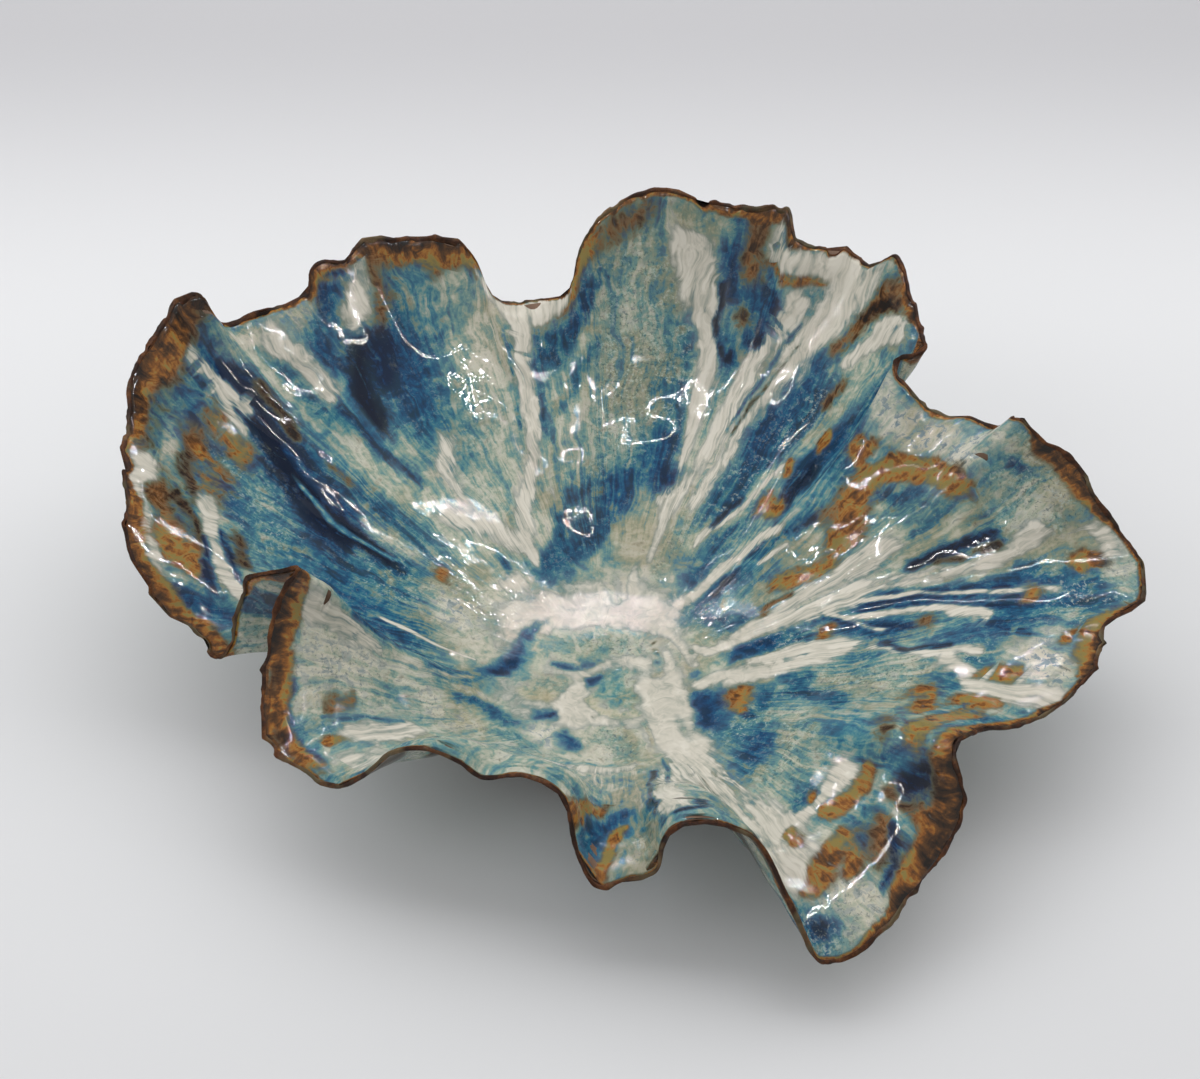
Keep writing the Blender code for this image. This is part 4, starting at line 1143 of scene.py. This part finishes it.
    # Where each look shows: the value it follows, the two ends of its rise, and its top.
    stain, pale, foam, curds, holes, crazing, olive, rusty, outline, creamy = (
        add("ShaderNodeMapRange", {0: value, 1: low, 2: high, 3: 0.0, 4: top},
            interpolation_type="SMOOTHSTEP").outputs[0]
        for value, low, high, top in (
            (broad, 0.48, 0.66, 0.42), (depth, 0.42, 0.62, 1.0), (speck, 0.50, 0.64, 0.75),
            (curdle, 0.44, 0.58, 1.0), (speck, 0.46, 0.34, 0.6), (mottle, 0.50, 0.60, 0.75),
            (thin, 0.15, 0.65, 0.75), (thin, 0.42, 0.95, 0.97), (float_edge, 0.15, 0.42, 0.45),
            (float_edge, 0.30, 0.85, 0.96)))
    no_iron = add("ShaderNodeMath", {0: 1.0, 1: iron}, operation="SUBTRACT").outputs[0]
    # The looks, laid over the painted ground in order, each with the factors it shows by: iron
    # is olive where it first shows through and then rust, and cream floats on a thin dark line.
    colour = ground.outputs["Color"]
    for look, factor, *more_factors in (
        (body, 0.7),
        (rgba("#8a7c50"), stain, pale),
        (rgba("#b9c4b8"), specks, foam, curds),
        (rgba("#234b58"), specks, holes),
        (rgba("#4c7388"), crackle, crazing),
        (rgba("#5d5d42"), olive),
        (rusted, rusty),
        (rgba("#3f666f"), outline, no_iron),
        (thick, creamy),
    ):
        for another in more_factors:
            factor = add("ShaderNodeMath", {0: factor, 1: another},
                         operation="MULTIPLY").outputs[0]
        colour = add("ShaderNodeMix", {0: factor, 6: colour, 7: look},
                     data_type="RGBA").outputs[2]

    roughness = add("ShaderNodeMix", {0: rusty, 2: gloss_roughness, 3: 0.07}).outputs[0]
    height = add("ShaderNodeMix", {0: 0.6, 2: ripple, 3: swell}).outputs[0]
    bump = add("ShaderNodeBump", {"Height": height, "Strength": 0.42, "Distance": 0.8 * MM})
    shader = add("ShaderNodeBsdfPrincipled", {
        "Base Color": colour, "Roughness": roughness, "Normal": bump.outputs[0], "IOR": 1.5})
    add("ShaderNodeOutputMaterial", {0: shader.outputs[0]})
    return material


def iron_wash():
    """Red iron oxide brushed on the torn lip and fired: a dull crust from rust to black brown,
    with the glaze crept over it in places."""
    material, tree = blank_material("Iron oxide wash, fired")
    place = node(tree, "ShaderNodeTexCoord").outputs["Object"]
    patch = node(tree, "ShaderNodeTexNoise", {
        "Vector": place, "Scale": 1 / (7 * MM), "Detail": 4, "Roughness": 0.65}).outputs[0]
    grit = node(tree, "ShaderNodeTexNoise", {
        "Vector": place, "Scale": 1 / (0.8 * MM), "Detail": 2}).outputs[0]
    crept = node(tree, "ShaderNodeTexNoise", {
        "Vector": place, "Scale": 1 / (22 * MM), "Detail": 3, "Roughness": 0.7}).outputs[0]
    colour = node(tree, "ShaderNodeValToRGB", {0: patch}, stops=(
        (0.34, "#180d08"), (0.45, "#3a2011"), (0.56, "#6b3d1a"), (0.70, "#9a6230"))).outputs[0]
    speckled = node(tree, "ShaderNodeMix", {
        0: grit, 6: colour, 7: rgba("#2c180e")}, data_type="RGBA").outputs[2]
    covered = node(tree, "ShaderNodeMapRange", {0: crept, 1: 0.52, 2: 0.62, 3: 0.0, 4: 0.5})
    speckled = node(tree, "ShaderNodeMix", {
        0: covered.outputs[0], 6: speckled, 7: rgba("#716a4e")}, data_type="RGBA").outputs[2]
    roughness = node(tree, "ShaderNodeMapRange", {0: grit, 1: 0.3, 2: 0.7, 3: 0.4, 4: 0.7})
    bump = node(tree, "ShaderNodeBump", {
        "Height": grit, "Strength": 0.6, "Distance": 0.3 * MM})
    shader = node(tree, "ShaderNodeBsdfPrincipled", {
        "Base Color": speckled, "Roughness": roughness.outputs[0], "Normal": bump.outputs[0],
        "IOR": 1.5, "Specular IOR Level": 0.3})
    node(tree, "ShaderNodeOutputMaterial", {0: shader.outputs[0]})
    return material


def bare_clay(name, pale, dark):
    """Unglazed stoneware with grog: matt, with sandy grains about half a millimetre across."""
    material, tree = blank_material(name)
    place = node(tree, "ShaderNodeTexCoord").outputs["Object"]
    cloud = node(tree, "ShaderNodeTexNoise", {
        "Vector": place, "Scale": 1 / (18 * MM), "Detail": 4}).outputs[0]
    grog = node(tree, "ShaderNodeTexNoise", {
        "Vector": place, "Scale": 1 / (0.6 * MM), "Detail": 2}).outputs[0]
    colour = node(tree, "ShaderNodeValToRGB", {0: cloud},
                  stops=((0.38, dark), (0.62, pale))).outputs[0]
    spots = node(tree, "ShaderNodeMapRange", {0: grog, 1: 0.62, 2: 0.72, 3: 0.0, 4: 0.7})
    colour = node(tree, "ShaderNodeMix", {
        0: spots.outputs[0], 6: colour, 7: rgba("#3b2a20")}, data_type="RGBA").outputs[2]
    roughness = node(tree, "ShaderNodeMapRange", {0: grog, 1: 0.3, 2: 0.7, 3: 0.7, 4: 0.92})
    bump = node(tree, "ShaderNodeBump", {"Height": grog, "Strength": 0.5, "Distance": 0.2 * MM})
    shader = node(tree, "ShaderNodeBsdfPrincipled", {
        "Base Color": colour, "Roughness": roughness.outputs[0], "Normal": bump.outputs[0],
        "IOR": 1.5})
    node(tree, "ShaderNodeOutputMaterial", {0: shader.outputs[0]})
    return material


def matt_paper(code):
    """Matt backdrop paper off a roll, with painted shade that greys it towards its far end."""
    material, tree = blank_material("Matt paper sweep")
    place = node(tree, "ShaderNodeTexCoord").outputs["Object"]
    # Painted shade: the paper is mixed towards the grey #c2c2c5 further back, standing in for the
    # light falling off over the far paper.
    far = node(tree, "ShaderNodeSeparateXYZ", {0: place}).outputs["Y"]
    far_shade = node(tree, "ShaderNodeMapRange", {0: far, 1: 0.20, 2: 0.56},
                  interpolation_type="SMOOTHSTEP").outputs[0]
    shaded_paper = node(tree, "ShaderNodeMix", {
        0: far_shade, 6: rgba(code), 7: rgba("#c2c2c5")}, data_type="RGBA").outputs[2]
    shader = node(tree, "ShaderNodeBsdfPrincipled", {
        "Base Color": shaded_paper, "Roughness": 0.85, "Specular IOR Level": 0.2})
    node(tree, "ShaderNodeOutputMaterial", {0: shader.outputs[0]})
    return material


def glaze_attributes(mesh, turn, share, values):
    """Stores the painted glaze on the mesh's points for its material."""
    on_floor = 1 - eased(share, 0.24, 0.42)
    angle = turn * 2 * math.pi
    radius = RIM_LENGTH / (2 * math.pi)
    ones = np.ones(len(share))
    flow = np.stack([radius * np.cos(angle), radius * np.sin(angle), WALL_LENGTH * share], axis=1)
    add_values(mesh, "flow", flow)
    add_values(mesh, "ground", np.column_stack([values[:, :CREAM], ones]))
    add_values(mesh, "pools", values[:, CREAM:TONE])
    add_values(mesh, "finish", np.column_stack([values[:, TONE:], on_floor, ones]))


class BowlSizes(bpy.types.PropertyGroup):
    """The coats' thicknesses and how finely each piece is made"""
    clay_columns: bpy.props.IntProperty(
        name="Clay columns", description="Columns of faces round the clay", default=800, min=24)
    inside_columns: bpy.props.IntProperty(
        name="Inside columns", description="Columns of faces round the inside glaze",
        default=800, min=24)
    outside_columns: bpy.props.IntProperty(
        name="Outside columns", description="Columns of faces round the outside glaze",
        default=800, min=24)
    lip_columns: bpy.props.IntProperty(
        name="Lip columns", description="Columns of faces round the torn lip",
        default=1600, min=24)
    inside_coat: bpy.props.FloatProperty(
        name="Inside coat", description="Thickness of the glaze inside",
        default=0.7 * MM, min=0.1 * MM, unit="LENGTH")
    outside_coat: bpy.props.FloatProperty(
        name="Outside coat", description="Thickness of the glaze outside",
        default=0.5 * MM, min=0.1 * MM, unit="LENGTH")
    run_height: bpy.props.FloatProperty(
        name="Run height", description="How far the cream runs stand up from the glaze",
        default=0.35 * MM, min=0, unit="LENGTH")


class BowlLooks(bpy.types.PropertyGroup):
    """The gloss and the plain colours"""
    gloss_roughness: bpy.props.FloatProperty(
        name="Gloss roughness", description="Roughness of the fired glaze", default=0.03,
        min=0, max=1, subtype="FACTOR")
    paper: bpy.props.StringProperty(
        name="Paper", description="Colour of the paper sweep as #rrggbb", default="#e3e4e6")
    clay_pale: bpy.props.StringProperty(
        name="Pale clay", description="Paler tone of the bare clay", default="#8b7260")
    clay_dark: bpy.props.StringProperty(
        name="Dark clay", description="Darker tone of the bare clay", default="#5f4737")


def put(name, mesh, material, node_name):
    """Adds the finished piece in place of its solid, riding on the bowl."""
    mesh.materials.append(material)
    obj = bpy.data.objects.new(name, mesh)
    bpy.context.scene.collection.objects.link(obj)
    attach(obj, BODY)
    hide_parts(node_name)


class BOWL_OT_clay(bpy.types.Operator):
    """Adds the thin clay wall, pressed and folded by hand"""
    bl_idname = "bowl.clay"
    bl_label = "Clay wall"

    def execute(self, context):
        sizes, looks = context.scene.bowl_sizes, context.scene.bowl_looks
        shares = floor_and_wall(8, 48, CLAY_END)
        inside = [(share, visible_clay(share) - SUNK_UNDER_GLAZE) for share in shares]
        outside = [(share, -depth - SUNK_UNDER_GLAZE * eased(share, 0.36, 0.30))
                   for share, depth in reversed(inside)]
        mesh = turned_layer("visible_clay", inside + outside, False, sizes.clay_columns)
        move_points(mesh, pressed(points_of(mesh)))
        material = bare_clay("Stoneware clay, bare", looks.clay_pale, looks.clay_dark)
        put("visible_clay", mesh, material, "clay_body")
        return {"FINISHED"}


class BOWL_OT_inside_glaze(bpy.types.Operator):
    """Adds the reactive glaze over the floor and the inside of the wall"""
    bl_idname = "bowl.inside_glaze"
    bl_label = "Inside glaze"

    def execute(self, context):
        sizes, looks = context.scene.bowl_sizes, context.scene.bowl_looks
        over = floor_and_wall(20, 76, INSIDE_END)
        under = floor_and_wall(4, 25, INSIDE_END)
        thins = [1 - THINNED * eased(share, COAT_THINS, INSIDE_END) for share in over]
        top = [(share, visible_clay(share) + sizes.inside_coat * thin)
               for share, thin in zip(over, thins)]
        bottom = [(share, visible_clay(share) - COAT_BEDDED) for share in under]
        mesh = turned_layer("inside_glaze", bottom + top[::-1], False, sizes.inside_columns)
        flat = points_of(mesh)
        turn, share = places_of(flat)
        points = pressed(flat)
        values = painted(turn, share, points[:, 0] - FOOT_MIDDLE.x, points[:, 1] - FOOT_MIDDLE.y)
        burnt_rim(turn, share, values)
        on_top = flat[:, 2] > visible_clay(share) + 0.03 * MM
        piled = evened(mesh, values[:, CREAM] + 0.6 * values[:, LEVEL] - 0.4)
        stands = sizes.run_height * on_top * piled
        move_points(mesh, pressed(flat, stands))
        glaze_attributes(mesh, turn, share, values)
        material = reactive_glaze("Reactive glaze inside, glossy", looks.gloss_roughness)
        put("inside_glaze", mesh, material, "inner_glaze")
        return {"FINISHED"}


class BOWL_OT_outside_glaze(bpy.types.Operator):
    """Adds the plainer glaze on the outside of the wall"""
    bl_idname = "bowl.outside_glaze"
    bl_label = "Outside glaze"

    def execute(self, context):
        sizes, looks = context.scene.bowl_sizes, context.scene.bowl_looks
        over = np.linspace(OUTSIDE_START, OUTSIDE_END, 60)
        near = [(share, COAT_BEDDED - visible_clay(share)) for share in over[::2]]
        thins = (1 - THINNED * eased(over, COAT_THINS, OUTSIDE_END)
                 - 0.7 * eased(over, 0.30, OUTSIDE_START))
        far = [(share, -visible_clay(share) - sizes.outside_coat * thin)
               for share, thin in zip(over, thins)]
        mesh = turned_layer("outside_glaze", near + far[::-1], True, sizes.outside_columns)
        flat = points_of(mesh)
        turn, share = places_of(flat)
        move_points(mesh, pressed(flat))
        values = outside_painted(turn, share)
        burnt_rim(turn, share, values)
        glaze_attributes(mesh, turn, share, values)
        material = reactive_glaze("Reactive glaze outside, thinner", looks.gloss_roughness + 0.08)
        put("outside_glaze", mesh, material, "outer_glaze")
        return {"FINISHED"}


class BOWL_OT_lip(bpy.types.Operator):
    """Adds the torn lip with its iron wash"""
    bl_idname = "bowl.lip"
    bl_label = "Torn lip"

    def execute(self, context):
        sizes = context.scene.bowl_sizes
        half = CLAY_AT_LIP / 2
        inside = [(share, half + LIP_CRUST * rise) for share, rise in (
            (LIP_START, -1.4), (0.9935, 0.0), (0.9965, 0.8), (0.9985, 1.0), (1.0, 0.8))]
        shoulder = 1 + 0.55 * MM
        round_lip = [(shoulder, 0.55 * half), (1 + LIP_REACH, 0), (shoulder, -0.55 * half)]
        outside = [(share, -depth) for share, depth in reversed(inside)]
        hidden = [(LIP_START, -0.4 * half), (LIP_START, 0.4 * half)]
        section = inside + round_lip + outside + hidden
        mesh = turned_layer("torn_lip", section, True, sizes.lip_columns)
        flat = points_of(mesh)
        turn, share = places_of(flat)
        rough = 0.16 * round_noise(turn, 240, 51) + 0.12 * round_noise(turn, 620, 52)
        lumps = MM * rough * np.sign(flat[:, 2]) * (np.abs(flat[:, 2]) > 0.6 * half)
        spread = MM * (0.3 * round_noise(turn, 330, 53) + 0.25 * round_noise(turn, 760, 54))
        flat_radius = np.hypot(flat[:, 0], flat[:, 1])
        past = np.clip((flat_radius - 1) / LIP_REACH, 0, 1) * spread
        flat[:, :2] *= ((flat_radius + past) / flat_radius)[:, None]
        move_points(mesh, pressed(flat, lumps))
        put("torn_lip", mesh, iron_wash(), "rim_wash")
        return {"FINISHED"}


class BOWL_OT_foot(bpy.types.Operator):
    """Adds the turned foot ring with its throwing lines"""
    bl_idname = "bowl.foot"
    bl_label = "Foot ring"

    def execute(self, context):
        looks = context.scene.bowl_looks
        outer = (FOOT_HIGH.x - FOOT_LOW.x) / 2
        inner = outer - FOOT_WIDTH
        top = FOOT_HIGH.z
        heights = np.linspace(0, 1, 16)
        lines = THROWING_LINE * np.sin(heights * 19) * np.sin(math.pi * heights)
        outside = [(outer - FOOT_TAPER * (1 - way) + line, FOOT_EDGE + (top - FOOT_EDGE) * way)
                   for way, line in zip(heights, lines)]
        inside = [(inner + FOOT_TAPER * (1 - way) - line, FOOT_EDGE + (top - 1.4 * MM) * way)
                  for way, line in zip(heights, lines)]
        sole = [(outer - 1.8 * MM, 0.35 * MM), (outer - 2.5 * MM, 0), (inner + 2.5 * MM, 0),
                (inner + 1.8 * MM, 0.35 * MM)]
        section = outside[::-1] + sole + inside
        bm = bmesh.new()
        verts = [bm.verts.new((radius, 0, height)) for radius, height in section]
        edges = [bm.edges.new(pair) for pair in zip(verts, verts[1:] + verts[:1])]
        bmesh.ops.spin(bm, geom=verts + edges, cent=(0, 0, 0), axis=(0, 0, 1),
                       angle=2 * math.pi, steps=160, use_merge=True)
        bmesh.ops.remove_doubles(bm, verts=bm.verts, dist=1e-6)
        bmesh.ops.recalc_face_normals(bm, faces=bm.faces)
        bmesh.ops.translate(bm, verts=bm.verts, vec=(FOOT_MIDDLE.x, FOOT_MIDDLE.y, 0))
        mesh = bpy.data.meshes.new("turned_foot")
        bm.to_mesh(mesh)
        bm.free()
        mesh.shade_smooth()
        material = bare_clay("Foot ring clay, turned and bare", looks.clay_pale, looks.clay_dark)
        put("turned_foot", mesh, material, "foot_ring")
        return {"FINISHED"}


CAMERA_PITCH = 42  # degrees the camera looks down
CAMERA_LENS = 49.45
CAMERA_DISTANCE = 0.62
ROOM_LIGHT = 0.455
SWEEP_FRONT, SWEEP_SIDE, SWEEP_TOP = -9.0, 8.0, 2.4  # where the paper ends
SWEEP_BEND, BEND_RADIUS = 1.05, 0.7  # where it starts to bend up, and how tightly


def add_area(name, place, target, size, power):
    """A soft rectangular light facing a point."""
    light = bpy.data.lights.new(name, "AREA")
    light.shape = "RECTANGLE"
    light.size, light.size_y = size
    light.energy = power
    obj = bpy.data.objects.new(name, light)
    bpy.context.scene.collection.objects.link(obj)
    obj.location = place
    obj.rotation_euler = (Vector(target) - Vector(place)).to_track_quat("-Z", "Y").to_euler()
    obj.visible_glossy = False


# The light tent's rows of small lamps over the bowl: how far back and how high each runs.
STRIPS = ((-0.02, 0.66), (-0.005, 0.66), (0.34, 0.62), (0.355, 0.62))
STRIP_LENGTH = 0.80
LAMP_SPACING = 14 * MM
LAMP_SIZE = 2.2 * MM
LAMP_GLOW = 600.0


def lamp_strips(scene):
    """Rows of small bright lamps, whose images run over the glaze as dotted lines."""
    bm = bmesh.new()
    for back, height in STRIPS:
        for across in np.linspace(-0.5, 0.5, int(STRIP_LENGTH / LAMP_SPACING)):
            place = Matrix.Translation((STRIP_LENGTH * across, back, height))
            bmesh.ops.create_grid(
                bm, x_segments=1, y_segments=1, size=LAMP_SIZE / 2, matrix=place)
    mesh = bpy.data.meshes.new("lamp_strips")
    bm.to_mesh(mesh)
    bm.free()
    material, tree = blank_material("White lamp chips, lit")
    glow = node(tree, "ShaderNodeEmission", {"Strength": LAMP_GLOW})
    node(tree, "ShaderNodeOutputMaterial", {0: glow.outputs[0]})
    mesh.materials.append(material)
    strips = bpy.data.objects.new("lamp_strips", mesh)
    scene.collection.objects.link(strips)
    strips.visible_diffuse = False
    strips.visible_camera = False
    strips.visible_shadow = False


class BOWL_OT_stage(bpy.types.Operator):
    """Adds the paper sweep, the studio lights and the camera"""
    bl_idname = "bowl.stage"
    bl_label = "Studio"

    def execute(self, context):
        scene = context.scene
        bm = bmesh.new()
        bend = [(SWEEP_BEND + BEND_RADIUS * math.sin(a), BEND_RADIUS - BEND_RADIUS * math.cos(a))
                for a in np.linspace(0, math.pi / 2, 24)]
        profile = [(SWEEP_FRONT, 0.0), *bend, (SWEEP_BEND + BEND_RADIUS, SWEEP_TOP)]
        verts = [bm.verts.new((-SWEEP_SIDE, y, z)) for y, z in profile]
        edges = [bm.edges.new(pair) for pair in zip(verts, verts[1:])]
        swept = bmesh.ops.extrude_edge_only(bm, edges=edges)["geom"]
        moved = [part for part in swept if isinstance(part, bmesh.types.BMVert)]
        bmesh.ops.translate(bm, verts=moved, vec=(2 * SWEEP_SIDE, 0, 0))
        bmesh.ops.recalc_face_normals(bm, faces=bm.faces)
        mesh = bpy.data.meshes.new("paper_sweep")
        bm.to_mesh(mesh)
        bm.free()
        mesh.shade_smooth()
        mesh.materials.append(matt_paper(scene.bowl_looks.paper))
        sweep = bpy.data.objects.new("paper_sweep", mesh)
        scene.collection.objects.link(sweep)

        world = bpy.data.worlds.new("Pale room")
        world.use_nodes = True
        background = world.node_tree.nodes["Background"]
        background.inputs[0].default_value = (1.0, 0.99, 0.98, 1)
        background.inputs[1].default_value = ROOM_LIGHT
        scene.world = world
        centre = (FOOT_MIDDLE.x, FOOT_MIDDLE.y, 0.03)
        add_area("Overhead softbox", (0.06, 0.60, 1.0), centre, (3.0, 1.0), 17)
        add_area("Left fill", (-1.2, -0.3, 0.9), centre, (0.8, 0.8), 3)

        lamp_strips(scene)

        pitch = math.radians(CAMERA_PITCH)
        ahead = Vector((0, math.cos(pitch), -math.sin(pitch)))
        above = Vector((0, math.sin(pitch), math.cos(pitch)))
        aim = Vector((FOOT_MIDDLE.x - 0.0045, FOOT_MIDDLE.y, 0.012)) + 0.0498 * above
        camera_data = bpy.data.cameras.new("Camera")
        camera_data.sensor_width = 36
        camera_data.lens = CAMERA_LENS
        camera = bpy.data.objects.new("Camera", camera_data)
        scene.collection.objects.link(camera)
        camera.matrix_world = Matrix.Translation(aim - CAMERA_DISTANCE * ahead) @ (
            Matrix((Vector((1, 0, 0)), above, -ahead)).transposed().to_4x4())
        scene.camera = camera
        scene.view_settings.view_transform = "Standard"
        return {"FINISHED"}


class BOWL_PT_panel(bpy.types.Panel):
    """Lists the bowl's pieces, sizes and colours"""
    bl_label = "Ruffled bowl"
    bl_idname = "BOWL_PT_panel"
    bl_space_type = "VIEW_3D"
    bl_region_type = "UI"
    bl_category = "Bowl"

    def draw(self, context):
        layout = self.layout
        for group in (context.scene.bowl_sizes, context.scene.bowl_looks):
            box = layout.box()
            for name in group.bl_rna.properties.keys():
                if name not in ("rna_type", "name"):
                    box.prop(group, name)
        for operator in OPERATORS:
            layout.operator(operator.bl_idname)


OPERATORS = (BOWL_OT_clay, BOWL_OT_inside_glaze, BOWL_OT_outside_glaze, BOWL_OT_lip,
             BOWL_OT_foot, BOWL_OT_stage)
CLASSES = (BowlSizes, BowlLooks, *OPERATORS, BOWL_PT_panel)


def register():
    for cls in CLASSES:
        bpy.utils.register_class(cls)
    bpy.types.Scene.bowl_sizes = bpy.props.PointerProperty(type=BowlSizes)
    bpy.types.Scene.bowl_looks = bpy.props.PointerProperty(type=BowlLooks)


def unregister():
    del bpy.types.Scene.bowl_sizes
    del bpy.types.Scene.bowl_looks
    for cls in reversed(CLASSES):
        bpy.utils.unregister_class(cls)


def main():
    register()
    bpy.ops.bowl.clay()
    bpy.ops.bowl.inside_glaze()
    bpy.ops.bowl.outside_glaze()
    bpy.ops.bowl.lip()
    bpy.ops.bowl.foot()
    bpy.ops.bowl.stage()


if __name__ == "__main__":
    main()
